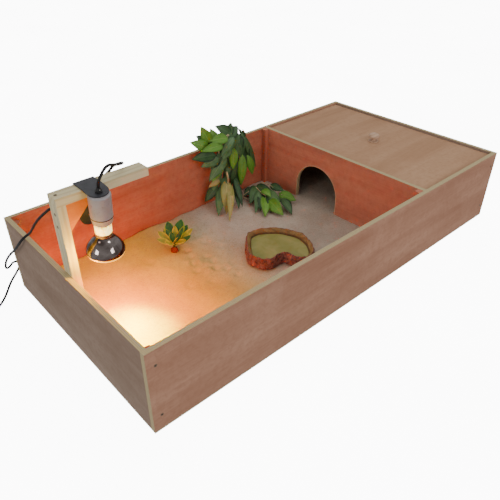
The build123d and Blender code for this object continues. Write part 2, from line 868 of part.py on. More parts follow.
# Coil of the unseen length: two layers of half turns, spiralling in and then out again
turn_pitch = flex_diameter + turn_gap
coil_x, coil_y = coil_centre


def coil_places():
    """Points where the coil's half turns meet, as (signed distance towards the front, height)."""
    places = [(coil_outer_radius, flex_floor)]
    reach = coil_outer_radius
    for number in range(coil_half_turns_in):
        reach -= turn_pitch / 2
        side = -1 if number % 2 == 0 else 1
        places.append((side * reach, flex_floor))
    reach -= turn_pitch / 2
    places.append((reach, flex_floor + turn_pitch))
    reach += turn_pitch / 2
    for number in range(coil_half_turns_out):
        reach += turn_pitch / 2
        side = -1 if number % 2 == 0 else 1
        places.append((side * reach, flex_floor + turn_pitch))
    return places


with BuildPart() as flex_coil:
    with BuildLine() as coil_path:
        places = coil_places()
        start = Vector(coil_x, coil_y - places[0][0], places[0][1])
        Line(start + Vector(flex_diameter, 0, 0), start)
        for (near, low), (far, high) in zip(places, places[1:]):
            near_point = Vector(coil_x, coil_y - near, low)
            far_point = Vector(coil_x, coil_y - far, high)
            bulge = (far_point - near_point).length / 2
            turning = -1 if near > 0 else 1
            middle = (near_point + far_point) / 2 + Vector(turning * bulge, 0, 0)
            ThreePointArc(near_point, middle, far_point)
        last, last_height = places[-1]
        quarter = last + turn_pitch / 4
        centre = Vector(coil_x, coil_y - last + quarter, last_height)
        slant = Vector(-sin(pi / 4), -cos(pi / 4), 0) * quarter
        end = centre - Vector(quarter, 0, 0)
        ThreePointArc(Vector(coil_x, coil_y - last, last_height), centre + slant, end)
        Line(end, end + Vector(0, flex_tail, 0))
    with BuildSketch(Plane(origin=coil_path.wire() @ 0, z_dir=coil_path.wire() % 0)):
        Circle(flex_radius)
    sweep()
save(flex_coil.part, "flex_coil")

coil_wire = coil_path.wire()
coil_length = coil_wire.length
samples = [coil_wire @ (number / gap_sample_count) for number in range(gap_sample_count + 1)]
apart = int(gap_skip_diameters * flex_diameter / (coil_length / gap_sample_count))
least = min(
    (first - second).length
    for index, first in enumerate(samples)
    for second in samples[index + apart :]
)
print("coil length", round(coil_length, 1), "least gap to itself", round(least - flex_diameter, 3))
coil_volume_ratio = flex_coil.part.volume / (flex_section * coil_length)
print("coil volume over section times length", round(coil_volume_ratio, 5))
print("whole flex length", round(free_length + coil_length, 1))

# Strain relief and moulded two-pin plug at the coil's end, lying on the floor
flex_end = coil_wire @ 1
plug_height = flex_end.Z
relief_plane = Plane(origin=flex_end, x_dir=(1, 0, 0), z_dir=(0, 1, 0))
plug_plane = relief_plane.offset(relief_length)

with BuildPart() as plug_strain_relief:
    with Locations(relief_plane):
        Cone(relief_tip_radius, relief_foot_radius, relief_length, align=BOTTOM)
save(plug_strain_relief.part, "plug_strain_relief")

pin_root_plane = plug_plane.offset(plug_length - plug_pin_root)
with BuildPart() as plug_pins:
    with Locations(pin_root_plane):
        with GridLocations(plug_pin_spacing, 0, 2, 1):
            Cylinder(plug_pin_radius, plug_pin_root + plug_pin_length, align=BOTTOM)
save(plug_pins.part, "plug_pins")

with BuildPart() as plug_body:
    with BuildSketch(plug_plane):
        RectangleRounded(plug_width, plug_thickness, plug_edge_radius)
    extrude(amount=plug_length)
    fillet(plug_body.faces().sort_by(Axis.Y)[0].edges(), plug_face_radius)
    add(plug_pins.part, mode=Mode.SUBTRACT)
save(plug_body.part, "plug_body")

# Sand: one bed through the run, the doorway and the hide
with BuildPart() as sand_bed:
    sand_low = (-inner_half_length, -inner_half_width, base_thickness)
    block(sand_low, (inner_half_length, inner_half_width, sand_top))
    add(hide_divider.part, mode=Mode.SUBTRACT)
    add(lamp_post.part, mode=Mode.SUBTRACT)
    add(corner_batten_front_left.part, mode=Mode.SUBTRACT)
    add(corner_batten_back_left.part, mode=Mode.SUBTRACT)
    add(corner_batten_front_right.part, mode=Mode.SUBTRACT)
    add(corner_batten_back_right.part, mode=Mode.SUBTRACT)
    add(divider_batten_front.part, mode=Mode.SUBTRACT)
    add(divider_batten_back.part, mode=Mode.SUBTRACT)
save(sand_bed.part, "sand_bed")

# Water bowl: a rock-like dish with a notch in its front, on the sand
bowl_outline_shares = [
    (-0.5, 0.08),
    (-0.43, -0.13),
    (-0.31, -0.21),
    (-0.07, -0.18),
    (-0.05, -0.4),
    (0.1, -0.5),
    (0.29, -0.44),
    (0.44, -0.25),
    (0.5, -0.01),
    (0.37, 0.29),
    (0.09, 0.49),
    (-0.14, 0.5),
    (-0.35, 0.29),
]
bowl_bottom = sand_top + seat_gap
bowl_top = bowl_bottom + bowl_height
water_top = bowl_top - water_drop
bowl_points = [(x * bowl_length, y * bowl_width) for x, y in bowl_outline_shares]


def bowl_outline(height, inset):
    """Returns the bowl's outline at a height, drawn in by inset."""
    with BuildSketch(Plane((*bowl_centre, height))) as outline:
        with BuildLine():
            FilletPolyline(*bowl_points, radius=bowl_corner_radius, close=True)
        make_face()
        if inset:
            offset(amount=-inset, kind=Kind.ARC, mode=Mode.REPLACE)
    return outline.sketch


bowl_hollow_bottom = bowl_bottom + bowl_floor
with BuildPart() as water_bowl:
    extrude(bowl_outline(bowl_bottom, 0), amount=bowl_height, taper=bowl_batter)
    extrude(bowl_outline(bowl_hollow_bottom, bowl_wall), amount=bowl_height, mode=Mode.SUBTRACT)
save(water_bowl.part, "water_bowl")

with BuildPart() as bowl_water:
    water_outline = bowl_outline(bowl_hollow_bottom + seat_gap, bowl_wall + water_gap)
    extrude(water_outline, amount=water_top - bowl_hollow_bottom - seat_gap)
save(bowl_water.part, "bowl_water")


def leaf_outline(base, tip, width, facing):
    """Returns a pointed leaf's outline from base to tip, turned as nearly as it goes to facing."""
    along = Vector(*tip) - Vector(*base)
    direction = along.normalized()
    facing = Vector(*facing)
    normal = facing - direction * facing.dot(direction)
    belly = along.length * leaf_belly_share
    leaf_plane = Plane(origin=Vector(*base), x_dir=direction, z_dir=normal.normalized())
    with BuildSketch(leaf_plane) as outline:
        with BuildLine():
            ThreePointArc((0, 0), (belly, width / 2), (along.length, 0))
            ThreePointArc((0, 0), (belly, -width / 2), (along.length, 0))
        make_face()
    return outline.sketch


# Small plant: a rosette of pointed leaves on a moulded foot
plant_x, plant_y = plant_centre
plant_bottom = sand_top + seat_gap
plant_crown = plant_bottom + plant_foot_height
with BuildPart() as plant_foot:
    with Locations((plant_x, plant_y, plant_bottom)):
        Cone(plant_foot_radius, plant_foot_top_radius, plant_foot_height, align=BOTTOM)
save(plant_foot.part, "plant_foot")

lowest_root, highest_root = plant_root_shares
with BuildPart() as plant_leaves:
    with Locations((plant_x, plant_y, plant_crown)):
        Cylinder(plant_stem_radius, plant_leaf_width / 2, align=BOTTOM)
    for number in range(plant_leaf_count):
        rise = number / (plant_leaf_count - 1)
        turn = radians(number * plant_leaf_turn)
        tilt = radians(plant_low_tilt + (plant_high_tilt - plant_low_tilt) * rise)
        root_share = lowest_root + (highest_root - lowest_root) * rise
        base = Vector(plant_x, plant_y, plant_crown + plant_leaf_width / 2 * root_share)
        outward = Vector(cos(turn) * cos(tilt), sin(turn) * cos(tilt), sin(tilt))
        upward = Vector(-cos(turn) * sin(tilt), -sin(turn) * sin(tilt), cos(tilt))
        tip = base + outward * plant_leaf_length
        extrude(leaf_outline(base, tip, plant_leaf_width, upward), amount=leaf_thickness / 2, both=True)
save(plant_leaves.part, "plant_leaves")

# Foliage spray: stems from a wire hook on the back board, leaves along them, the longest stem
# trailing over the sand. Places are shares: along X and out from the board of spray_size, and in
# height from the sand at 0 to the rim at 1.
spray_stem_shares = {
    "left": [
        (0.0, 0.03, 1.06),
        (-0.2, 0.1, 1.14),
        (-0.41, 0.17, 1.15),
        (-0.56, 0.2, 1.01),
        (-0.57, 0.19, 0.75),
        (-0.52, 0.18, 0.45),
        (-0.46, 0.19, 0.2),
    ],
    "middle": [
        (0.0, 0.03, 1.06),
        (-0.12, 0.1, 1.02),
        (-0.21, 0.16, 0.91),
        (-0.25, 0.18, 0.72),
        (-0.28, 0.17, 0.5),
    ],
    "right": [(0.0, 0.03, 1.06), (0.05, 0.07, 0.95), (0.08, 0.11, 0.78), (0.1, 0.13, 0.57)],
    "trailing": [
        (-0.46, 0.19, 0.2),
        (-0.36, 0.3, 0.07),
        (-0.2, 0.37, 0.04),
        (0.0, 0.33, 0.09),
        (0.18, 0.33, 0.16),
        (0.27, 0.48, 0.14),
        (0.27, 0.68, 0.1),
    ],
}
spray_leaf_shares = [
    ("left", 0.27, (-0.44, -0.05, 1.3)),
    ("left", 0.2, (0.0, -0.02, 1.2)),
    ("left", 0.5, (-0.75, 0.04, 1.4)),
    ("left", 0.42, (-0.58, 0.02, 1.31)),
    ("left", 0.52, (-0.86, 0.06, 1.25)),
    ("left", 0.55, (-0.99, 0.06, 1.2)),
    ("left", 0.47, (-0.9, 0.28, 1.12)),
    ("left", 0.37, (-0.74, 0.2, 1.2)),
    ("left", 0.59, (-0.95, 0.05, 0.92)),
    ("left", 0.66, (-0.82, 0.06, 0.74)),
    ("left", 0.48, (-0.6, 0.4, 0.9)),
    ("left", 0.63, (-0.6, 0.14, 0.57)),
    ("left", 0.76, (-0.68, 0.06, 0.41)),
    ("left", 0.86, (-0.77, 0.05, 0.12)),
    ("left", 0.84, (-0.66, 0.3, 0.05)),
    ("left", 0.9, (-0.55, 0.38, 0.04)),
    ("left", 0.95, (-0.48, 0.5, 0.04)),
    ("left", 0.33, (-0.5, 0.26, 1.0)),
    ("middle", 0.3, (-0.26, 0.26, 0.93)),
    ("middle", 0.55, (-0.35, 0.3, 0.64)),
    ("middle", 0.7, (-0.2, 0.31, 0.4)),
    ("middle", 0.8, (-0.38, 0.22, 0.4)),
    ("middle", 0.97, (-0.22, 0.25, 0.08)),
    ("right", 0.25, (-0.06, 0.2, 0.72)),
    ("right", 0.3, (0.28, 0.1, 0.48)),
    ("right", 0.75, (0.13, 0.18, 0.32)),
    ("right", 0.97, (0.05, 0.2, 0.22)),
    ("trailing", 0.3, (-0.35, 0.55, 0.05)),
    ("trailing", 0.42, (-0.12, 0.6, 0.04)),
    ("trailing", 0.5, (-0.28, 0.72, 0.04)),
    ("trailing", 0.6, (-0.06, 0.74, 0.04)),
    ("trailing", 0.66, (0.26, 0.26, 0.2)),
    ("trailing", 0.75, (0.0, 0.92, 0.05)),
    ("trailing", 0.82, (0.45, 0.5, 0.12)),
    ("trailing", 0.9, (0.14, 1.0, 0.04)),
    ("trailing", 1.0, (0.42, 0.93, 0.06)),
]
rim_rise = table_height - sand_top
spray_hook_x = divider_x - spray_to_divider


def spray_place(shares):
    """Turns a share place of the spray into a point."""
    along, out, height = shares
    x = spray_hook_x + along * spray_size
    y = inner_half_width - out * spray_size
    return Vector(x, y, sand_top + height * rim_rise)


spray_stems = {name: [spray_place(shares) for shares in stem] for name, stem in spray_stem_shares.items()}


def place_along(points, share):
    """Point at a share of the length of a run of points."""
    runs = [(after - before).length for before, after in zip(points, points[1:])]
    left = share * sum(runs)
    for before, after, run in zip(points, points[1:], runs):
        if left <= run:
            return before + (after - before) * (left / run)
        left -= run
    return points[-1]


with BuildPart() as foliage_spray:
    for points in spray_stems.values():
        with BuildLine() as stem_path:
            FilletPolyline(*points, radius=spray_bend)
        with BuildSketch(Plane(origin=stem_path.wire() @ 0, z_dir=stem_path.wire() % 0)):
            Circle(spray_stem_radius)
        sweep(path=stem_path.wire())
    for stem, share, tip in spray_leaf_shares:
        base = place_along(spray_stems[stem], share)
        outline = leaf_outline(base, spray_place(tip), spray_leaf_width, spray_facing)
        extrude(outline, amount=leaf_thickness / 2, both=True)

# Wire hook of the spray, bent over the back board's rim
hook_out = board_thickness + hook_radius + hook_gap
hook_top = table_height + hook_radius + hook_gap
spray_root = spray_stems["left"][0]
hook_route = [
    (spray_root.X, half_width + hook_radius + hook_gap, table_height - hook_tail),
    (spray_root.X, half_width + hook_radius + hook_gap, hook_top),
    (spray_root.X, spray_root.Y, hook_top),
]
with BuildPart() as foliage_hook:
    with BuildLine() as hook_path:
        FilletPolyline(*hook_route, radius=hook_bend_radius)
    with BuildSketch(Plane(origin=hook_path.wire() @ 0, z_dir=hook_path.wire() % 0)):
        Circle(hook_radius)
    sweep()
    with Locations((spray_root.X, spray_root.Y, hook_top)):
        Cylinder(hook_collar_radius, spray_root.Z - hook_top, align=BOTTOM)
    add(foliage_spray.part, mode=Mode.SUBTRACT)
save(foliage_spray.part, "foliage_spray")
save(foliage_hook.part, "foliage_hook")
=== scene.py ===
"""Dresses the tortoise table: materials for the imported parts, and the sand, bulb, bowl, plants and
flex as detailed pieces. Metres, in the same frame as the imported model.
"""

from math import cos, pi, radians, sin, sqrt

import bpy
from mathutils import Matrix, Vector, noise


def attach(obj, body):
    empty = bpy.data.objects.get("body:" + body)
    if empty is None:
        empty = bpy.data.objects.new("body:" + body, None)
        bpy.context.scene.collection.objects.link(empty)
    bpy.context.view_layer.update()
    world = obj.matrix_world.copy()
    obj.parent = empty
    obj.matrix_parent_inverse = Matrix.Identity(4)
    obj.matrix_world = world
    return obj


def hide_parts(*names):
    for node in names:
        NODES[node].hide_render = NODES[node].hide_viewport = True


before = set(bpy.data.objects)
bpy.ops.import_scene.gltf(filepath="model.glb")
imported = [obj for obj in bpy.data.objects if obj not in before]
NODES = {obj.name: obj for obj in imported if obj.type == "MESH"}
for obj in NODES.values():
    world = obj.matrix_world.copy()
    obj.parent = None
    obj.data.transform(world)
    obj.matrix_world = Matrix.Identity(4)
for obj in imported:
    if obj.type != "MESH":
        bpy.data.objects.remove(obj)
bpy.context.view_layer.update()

# Sizes shared with the solids, in metres
INNER_LENGTH = 0.598
INNER_WIDTH = 0.293
RUN_END = 0.247
DOOR_CENTRE_Y = 0.063
DOOR_SPRING = 0.066
DOOR_RADIUS = 0.080
SAND_TOP = 0.020
FLEX_DIAMETER = 0.006
UP = Vector((0, 0, 1))

# The lamp hangs square to the bracket's nose, which sags a little: heights along its tilted axis
# are counted as if it stood upright, from this place on the nose's underside
LAMP_SAG = radians(6)
LAMP_PLATE = Vector((-0.522, -0.05186, 0.38548))
LAMP_PLATE_HEIGHT = 0.3882
LAMP_UP = Vector((0, -sin(LAMP_SAG), cos(LAMP_SAG)))
LAMP_BACK = Vector((0, cos(LAMP_SAG), sin(LAMP_SAG)))


def on_lamp(radius, angle, height):
    """A place round the lamp's axis."""
    middle = LAMP_PLATE + LAMP_UP * (height - LAMP_PLATE_HEIGHT)
    return middle + Vector((1, 0, 0)) * (radius * cos(angle)) + LAMP_BACK * (radius * sin(angle))


def add_object(name, data):
    """Puts a new object in the scene."""
    piece = bpy.data.objects.new(name, data)
    bpy.context.scene.collection.objects.link(piece)
    return piece


def turned(section, turns):
    """Places round the lamp's axis, from rows that begin with a radius and a height in millimetres."""
    angles = [2 * pi * number / turns for number in range(turns)]
    return [on_lamp(row[0] / 1000, angle, row[1] / 1000) for row in section for angle in angles]


# Camera at the photograph's viewpoint
CAMERA_PLACE = Vector((-0.9110, -0.8968, 0.8657))
CAMERA_RIGHT = Vector((0.75111743, -0.66010949, -0.00883548))
CAMERA_DOWN = Vector((-0.37760975, -0.41861497, -0.82593728))
CAMERA_AHEAD = Vector((0.54151037, 0.62371225, -0.56369278))

camera_data = bpy.data.cameras.new("camera")
camera_data.lens = 38.57
camera_data.sensor_width = 36
camera_data.shift_x = 0.0245
camera_data.shift_y = -0.0037
camera_data.clip_start = 0.05
camera_data.clip_end = 60
camera = add_object("camera", camera_data)
turn = Matrix((CAMERA_RIGHT, -CAMERA_DOWN, -CAMERA_AHEAD)).transposed().to_4x4()
camera.matrix_world = Matrix.Translation(CAMERA_PLACE) @ turn
bpy.context.scene.camera = camera

PICTURE_MIDDLE = (237.76, 248.17)
PICTURE_FOCUS = 535.65


def sight(u, v):
    """The direction in which the camera sees a pixel of the picture, one metre deep."""
    right = (u - PICTURE_MIDDLE[0]) / PICTURE_FOCUS
    down = (v - PICTURE_MIDDLE[1]) / PICTURE_FOCUS
    return CAMERA_AHEAD + CAMERA_RIGHT * right + CAMERA_DOWN * down


def by_board(u, v, out):
    """The place seen at a pixel, out from the back board by some millimetres."""
    line = sight(u, v)
    return CAMERA_PLACE + line * ((INNER_WIDTH - out / 1000 - CAMERA_PLACE.y) / line.y)


def at_height(u, v, height):
    """The place seen at a pixel, at a height in millimetres."""
    line = sight(u, v)
    return CAMERA_PLACE + line * ((height / 1000 - CAMERA_PLACE.z) / line.z)


def beside(u, v, middle, nearer):
    """The place seen at a pixel, nearer to the camera than a middle by some millimetres."""
    return CAMERA_PLACE + sight(u, v) * ((middle - CAMERA_PLACE).dot(CAMERA_AHEAD) - nearer / 1000)


def tone(colour):
    """Turns a colour of the photograph, 0 to 255, into linear light. Others stay as they are."""
    if isinstance(colour, tuple) and len(colour) == 3:
        return tuple((value / 255) ** 2.2 for value in colour) + (1.0,)
    return colour


class Paint:
    """One procedural material, built up node by node."""

    def __init__(self, name, roughness=0.5, specular=0.5, **sockets):
        self.material = bpy.data.materials.new(name)
        self.material.use_nodes = True
        self.tree = self.material.node_tree
        self.shader = self.tree.nodes["Principled BSDF"]
        sockets = {"Roughness": roughness, "Specular_IOR_Level": specular, **sockets}
        for socket, value in sockets.items():
            self.shader.inputs[socket.replace("_", " ")].default_value = value
        self.places = self.tree.nodes.new("ShaderNodeTexCoord")

    def make(self, kind, inputs=(), **settings):
        """Adds a node, sets its settings, and feeds its inputs from values or sockets."""
        node = self.tree.nodes.new("ShaderNode" + kind)
        for setting, value in settings.items():
            setattr(node, setting, value)
        for socket, value in dict(inputs).items():
            self.feed(node.inputs[socket], value)
        return node

    def feed(self, socket, value):
        """Links a socket to another one, or sets its value."""
        if isinstance(value, bpy.types.NodeSocket):
            self.tree.links.new(value, socket)
        else:
            socket.default_value = value

    def set(self, socket, value):
        """Feeds one of the shader's own sockets."""
        self.feed(self.shader.inputs[socket], value)

    def spot(self, scale):
        """Coordinates on the piece, stretched by one scale or by three."""
        scale = scale if isinstance(scale, tuple) else (scale,) * 3
        inputs = {"Vector": self.places.outputs["Object"], "Scale": scale}
        return self.make("Mapping", inputs).outputs[0]

    def part(self, index, source="Object"):
        """One coordinate, or one part of the normal."""
        return self.make("SeparateXYZ", {0: self.places.outputs[source]}).outputs[index]

    def noise(self, scale, detail, rough, distort=0.0):
        """Cloudy noise, from 0 to 1."""
        inputs = {"Vector": self.spot(scale), "Scale": 1.0, "Detail": detail}
        inputs.update({"Roughness": rough, "Distortion": distort})
        return self.make("TexNoise", inputs).outputs[0]

    def cells(self, scale):
        """Distance to the nearest of many scattered points."""
        return self.make("TexVoronoi", {"Vector": self.spot(scale), "Scale": 1.0}).outputs["Distance"]

    def sum(self, operation, first, second=0.0):
        """One step of arithmetic."""
        return self.make("Math", {0: first, 1: second}, operation=operation).outputs[0]

    def step(self, value, low, high):
        """Goes from 0 at low to 1 at high."""
        inputs = {"Value": value, "From Min": low, "From Max": high}
        return self.make("MapRange", inputs, interpolation_type="SMOOTHSTEP").outputs[0]

    def mix(self, share, first, second):
        """Mixes two colours."""
        node = self.make("Mix", data_type="RGBA")
        self.feed(node.inputs[0], share)
        self.feed(node.inputs[6], tone(first))
        self.feed(node.inputs[7], tone(second))
        return node.outputs[2]

    def stain(self, colour, other, value, low, high, share):
        """Mixes another colour in by up to a share, as a value goes from low to high."""
        return self.mix(self.sum("MULTIPLY", self.step(value, low, high), share), colour, other)

    def shine(self, colour, strength):
        """Gives the surface a colour that it also sends out as light."""
        self.set("Base Color", colour)
        self.set("Emission Color", colour)
        self.set("Emission Strength", strength)

    def ramp(self, value, *stops):
        """Colours a value by stops of (place, colour)."""
        node = self.make("ValToRGB", {0: value})
        elements = node.color_ramp.elements
        while len(elements) < len(stops):
            elements.new(1.0)
        for element, (place, colour) in zip(elements, stops):
            element.position = place
            element.color = tone(colour)
        return node.outputs[0]

    def bump(self, height, distance, strength, below=None):
        """Adds relief, on top of another relief where there is one."""
        inputs = {"Height": height, "Distance": distance, "Strength": strength}
        if below is not None:
            inputs["Normal"] = below
        normal = self.make("Bump", inputs).outputs[0]
        self.set("Normal", normal)
        return normal


def stretched(grain_axis, along, across):
    """A scale that draws a pattern out along one axis."""
    scale = [across, across, across]
    scale[grain_axis] = along
    return tuple(scale)


PLY_EDGE_LIGHT = (186, 170, 130)
PLY_EDGE_DARK = (146, 124, 88)
DOOR_RIM = (206, 160, 124)


def plywood(name, face_axis, grain_axis, outside, inside, layers=0.0017, doorway=False):
    """Stained plywood: veneer on its faces, light layered edges, and another stain on the inside.

    A doorway has a bare, rounded-over rim.
    """
    paint = Paint(name, 0.66, 0.15)
    fine = paint.noise(stretched(grain_axis, 9, 340), 5, 0.6, 0.4)
    broad = paint.noise(stretched(grain_axis, 1.6, 15), 3, 0.5, 0.6)
    patch = paint.noise(5, 3, 0.6, 0.8)
    mottle = paint.noise(75, 5, 0.7, 0.5)
    pores = paint.noise(stretched(grain_axis, 55, 1300), 2, 0.5)

    def veneer(light, middle, dark):
        base = paint.ramp(broad, (0.3, dark), (0.52, middle), (0.75, light))
        streaks = paint.ramp(fine, (0.3, dark), (0.55, middle), (0.8, light))
        faces = paint.mix(0.3, base, streaks)
        faces = paint.stain(faces, light, patch, 0.45, 0.75, 0.35)
        faces = paint.stain(faces, dark, mottle, 0.42, 0.68, 0.4)
        return paint.stain(faces, dark, pores, 0.56, 0.7, 0.3)

    faces = veneer(*outside)
    if inside is not None:
        run_middle = (RUN_END - INNER_LENGTH) / 2
        run_half = (RUN_END + INNER_LENGTH) / 2 + 0.001
        from_middle = paint.sum("ABSOLUTE", paint.sum("SUBTRACT", paint.part(0), run_middle))
        inner_x = paint.sum("LESS_THAN", from_middle, run_half)
        inner_y = paint.sum("LESS_THAN", paint.sum("ABSOLUTE", paint.part(1)), INNER_WIDTH + 0.001)
        faces = paint.mix(paint.sum("MULTIPLY", inner_x, inner_y), faces, veneer(*inside))
    if doorway:
        off_middle = paint.sum("SUBTRACT", paint.part(1), DOOR_CENTRE_Y)
        up = paint.sum("MAXIMUM", paint.sum("SUBTRACT", paint.part(2), DOOR_SPRING), 0.0)
        squares = paint.sum("ADD", paint.sum("POWER", off_middle, 2.0), paint.sum("POWER", up, 2.0))
        on_rim = paint.sum("LESS_THAN", squares, (DOOR_RADIUS + 0.0028) ** 2)
        faces = paint.mix(on_rim, faces, DOOR_RIM)
    ply = paint.sum("FRACT", paint.sum("DIVIDE", paint.part(face_axis), layers * 2))
    ply = paint.step(ply, 0.42, 0.58)
    edge_grain = paint.noise(260, 3, 0.6)
    edges = paint.mix(paint.sum("MULTIPLY", ply, 0.55), PLY_EDGE_LIGHT, PLY_EDGE_DARK)
    edges = paint.stain(edges, PLY_EDGE_DARK, edge_grain, 0.5, 0.8, 0.4)
    on_face = paint.sum("ABSOLUTE", paint.part(face_axis, "Normal"))
    paint.set("Base Color", paint.mix(paint.sum("GREATER_THAN", on_face, 0.6), edges, faces))
    relief = paint.bump(fine, 0.00012, 0.6)
    paint.bump(pores, 0.00008, 0.5, relief)
    return paint.material


OUTER_STAIN = ((190, 146, 122), (168, 124, 101), (146, 102, 80))
END_STAIN = ((160, 138, 122), (142, 120, 104), (122, 98, 82))
INNER_STAIN = ((194, 120, 94), (174, 101, 77), (150, 80, 60))
DIVIDER_STAIN = ((206, 136, 110), (188, 117, 93), (166, 98, 77))
LID_STAIN = ((186, 149, 118), (173, 134, 104), (156, 118, 89))
BASE_STAIN = ((196, 176, 146), (178, 156, 124), (156, 132, 100))
GUSSET_STAIN = ((226, 150, 84), (208, 126, 62), (180, 100, 46))

ply_long = plywood("ply_long", 1, 0, OUTER_STAIN, INNER_STAIN)
ply_end = plywood("ply_end", 0, 1, END_STAIN, INNER_STAIN)
ply_divider = plywood("ply_divider", 0, 1, DIVIDER_STAIN, None, doorway=True)
ply_lid = plywood("ply_lid", 2, 0, LID_STAIN, None, 0.0013)
ply_base = plywood("ply_base", 2, 0, BASE_STAIN, None, 0.0009)
ply_gusset = plywood("ply_gusset", 1, 0, GUSSET_STAIN, None)


def pine(name, grain_axis, light, dark):
    """Planed softwood: growth lines along the grain, rings on its ends, and a few darker streaks."""
    paint = Paint(name, 0.55, 0.3)
    sway = paint.noise(stretched(grain_axis, 3, 22), 2, 0.5)
    across = paint.sum("ADD", paint.part((grain_axis + 1) % 3), paint.part((grain_axis + 2) % 3))
    lines = paint.sum("ADD", paint.sum("MULTIPLY", across, 420), paint.sum("MULTIPLY", sway, 16))
    rings = paint.step(paint.sum("SINE", lines), -0.2, 1.0)
    fine = paint.noise(stretched(grain_axis, 20, 700), 4, 0.6)
    colour = paint.mix(paint.sum("MULTIPLY", rings, 0.5), light, dark)
    colour = paint.stain(colour, dark, fine, 0.5, 0.8, 0.45)
    paint.set("Base Color", colour)
    paint.bump(fine, 0.0001, 0.6)
    return paint.material


PINE = ((206, 194, 154), (178, 156, 112))
LEDGE_PINE = ((206, 190, 152), (176, 150, 108))

pine_upright = pine("pine_upright", 2, *PINE)
pine_beam = pine("pine_beam", 0, *PINE)
stained_upright = pine("stained_upright", 2, (184, 111, 86), (160, 90, 68))
ledge_along = pine("ledge_along", 0, *LEDGE_PINE)
ledge_across = pine("ledge_across", 1, *LEDGE_PINE)
knob_wood = pine("knob_wood", 0, (186, 154, 128), (158, 124, 98))


def metal(name, colour, worn, roughness):
    """Metal with fine scratches and a duller film in patches."""
    paint = Paint(name, Metallic=1.0)
    film = paint.noise(60, 4, 0.6)
    lines = paint.noise((400, 1600, 400), 3, 0.6)
    paint.set("Base Color", paint.mix(paint.step(film, 0.4, 0.7), colour, worn))
    paint.set("Roughness", paint.sum("ADD", paint.sum("MULTIPLY", lines, 0.25), roughness))
    paint.bump(lines, 0.00004, 0.5)
    return paint.material


zinc = metal("zinc", (190, 188, 180), (150, 146, 136), 0.25)
dark_screw = metal("dark_screw", (136, 120, 102), (96, 82, 68), 0.4)
brass = metal("brass", (214, 178, 96), (170, 134, 66), 0.2)
nickel = metal("nickel", (214, 212, 206), (180, 178, 172), 0.15)


def dull(name, light, dark, roughness, scale, relief, specular=0.35, coat=0.0):
    """Moulded or painted surface: a fine texture and slight changes of shade."""
    paint = Paint(name, specular=specular, Coat_Weight=coat, Coat_Roughness=0.2)
    shade = paint.noise(scale / 12, 4, 0.6)
    speckle = paint.noise(scale, 3, 0.6)
    paint.set("Base Color", paint.mix(paint.step(shade, 0.35, 0.7), light, dark))
    paint.set("Roughness", paint.sum("ADD", paint.sum("MULTIPLY", speckle, 0.2), roughness - 0.1))
    paint.bump(speckle, relief, 0.6)
    return paint.material


bracket_paint = dull("bracket_paint", (50, 51, 56), (38, 39, 43), 0.42, 900, 0.00006, 0.5)
black_plastic = dull("black_plastic", (34, 33, 33), (24, 23, 23), 0.45, 1500, 0.00004, 0.45)
flex_rubber = dull("flex_rubber", (28, 26, 26), (20, 18, 18), 0.5, 1800, 0.00004, 0.25)
glaze = dull("glaze", (153, 145, 145), (139, 131, 131), 0.3, 260, 0.00005, 0.5, 0.5)
seam_rubber = dull("seam_rubber", (24, 20, 20), (14, 12, 12), 0.8, 900, 0.00004, 0.1)
core_glaze = dull("core_glaze", (214, 208, 200), (196, 190, 182), 0.5, 400, 0.00005, 0.4)
wire_green = dull("wire_green", (86, 104, 52), (64, 80, 40), 0.6, 1200, 0.00008)
stem_bark = dull("stem_bark", (196, 182, 140), (140, 118, 84), 0.7, 700, 0.0002)


def sand_material():
    """Fine sand: grains and soft changes of shade, with painted warm lamp light that turns it golden
    towards the left end, under the lamp.
    """
    paint = Paint("sand_grains", 0.95, 0.1)
    grains = paint.noise(750, 3, 0.7)
    clumps = paint.noise(180, 4, 0.65)
    drift = paint.noise(9, 3, 0.5)
    colour = paint.mix(paint.step(drift, 0.35, 0.7), (182, 166, 148), (164, 147, 130))
    # Painted lamp light: a warmer, more golden sand colour that stands in for the lamp's pool of light
    # towards the left end
    lamp_lit_sand = paint.mix(paint.step(drift, 0.35, 0.7), (190, 164, 64), (174, 148, 54))
    golden = paint.step(paint.part(0), -0.02, -0.34)
    colour = paint.mix(golden, colour, lamp_lit_sand)
    colour = paint.stain(colour, (132, 106, 78), clumps, 0.46, 0.7, 0.4)
    # The light grains take the same painted golden lamp light
    bright = paint.mix(golden, (222, 208, 192), (232, 206, 90))
    colour = paint.stain(colour, bright, grains, 0.48, 0.66, 0.4)
    paint.set("Base Color", colour)
    relief = paint.bump(clumps, 0.0012, 0.7)
    paint.bump(grains, 0.0005, 0.8, relief)
    return paint.material


def bowl_material():
    """Moulded resin rock: rusty and pitted outside, ochre on the inner slope, with a band of painted
    shade just above the water.
    """
    paint = Paint("bowl_rock", 0.6, 0.35)
    pits = paint.noise(95, 6, 0.7, 0.6)
    crags = paint.cells((46, 46, 60))
    veins = paint.noise((34, 34, 90), 4, 0.6, 1.2)
    rust = paint.ramp(
        pits,
        (0.34, (58, 36, 31)),
        (0.44, (112, 68, 58)),
        (0.56, (144, 92, 79)),
        (0.78, (174, 122, 106)),
    )
    ochre = paint.ramp(
        veins,
        (0.3, (116, 84, 46)),
        (0.55, (150, 114, 66)),
        (0.8, (172, 138, 88)),
    )
    inner = paint.make("Attribute", attribute_name="inner").outputs["Fac"]
    colour = paint.mix(paint.step(inner, 0.25, 0.6), rust, ochre)
    # Painted shade: a dark band on the inner slope just above the water, where the inside value runs
    # past 1.2
    colour = paint.stain(colour, (74, 54, 26), inner, 1.2, 1.8, 0.75)
    paint.set("Base Color", colour)
    relief = paint.bump(pits, 0.007, 0.9)
    paint.bump(crags, 0.004, 0.6, relief)
    return paint.material


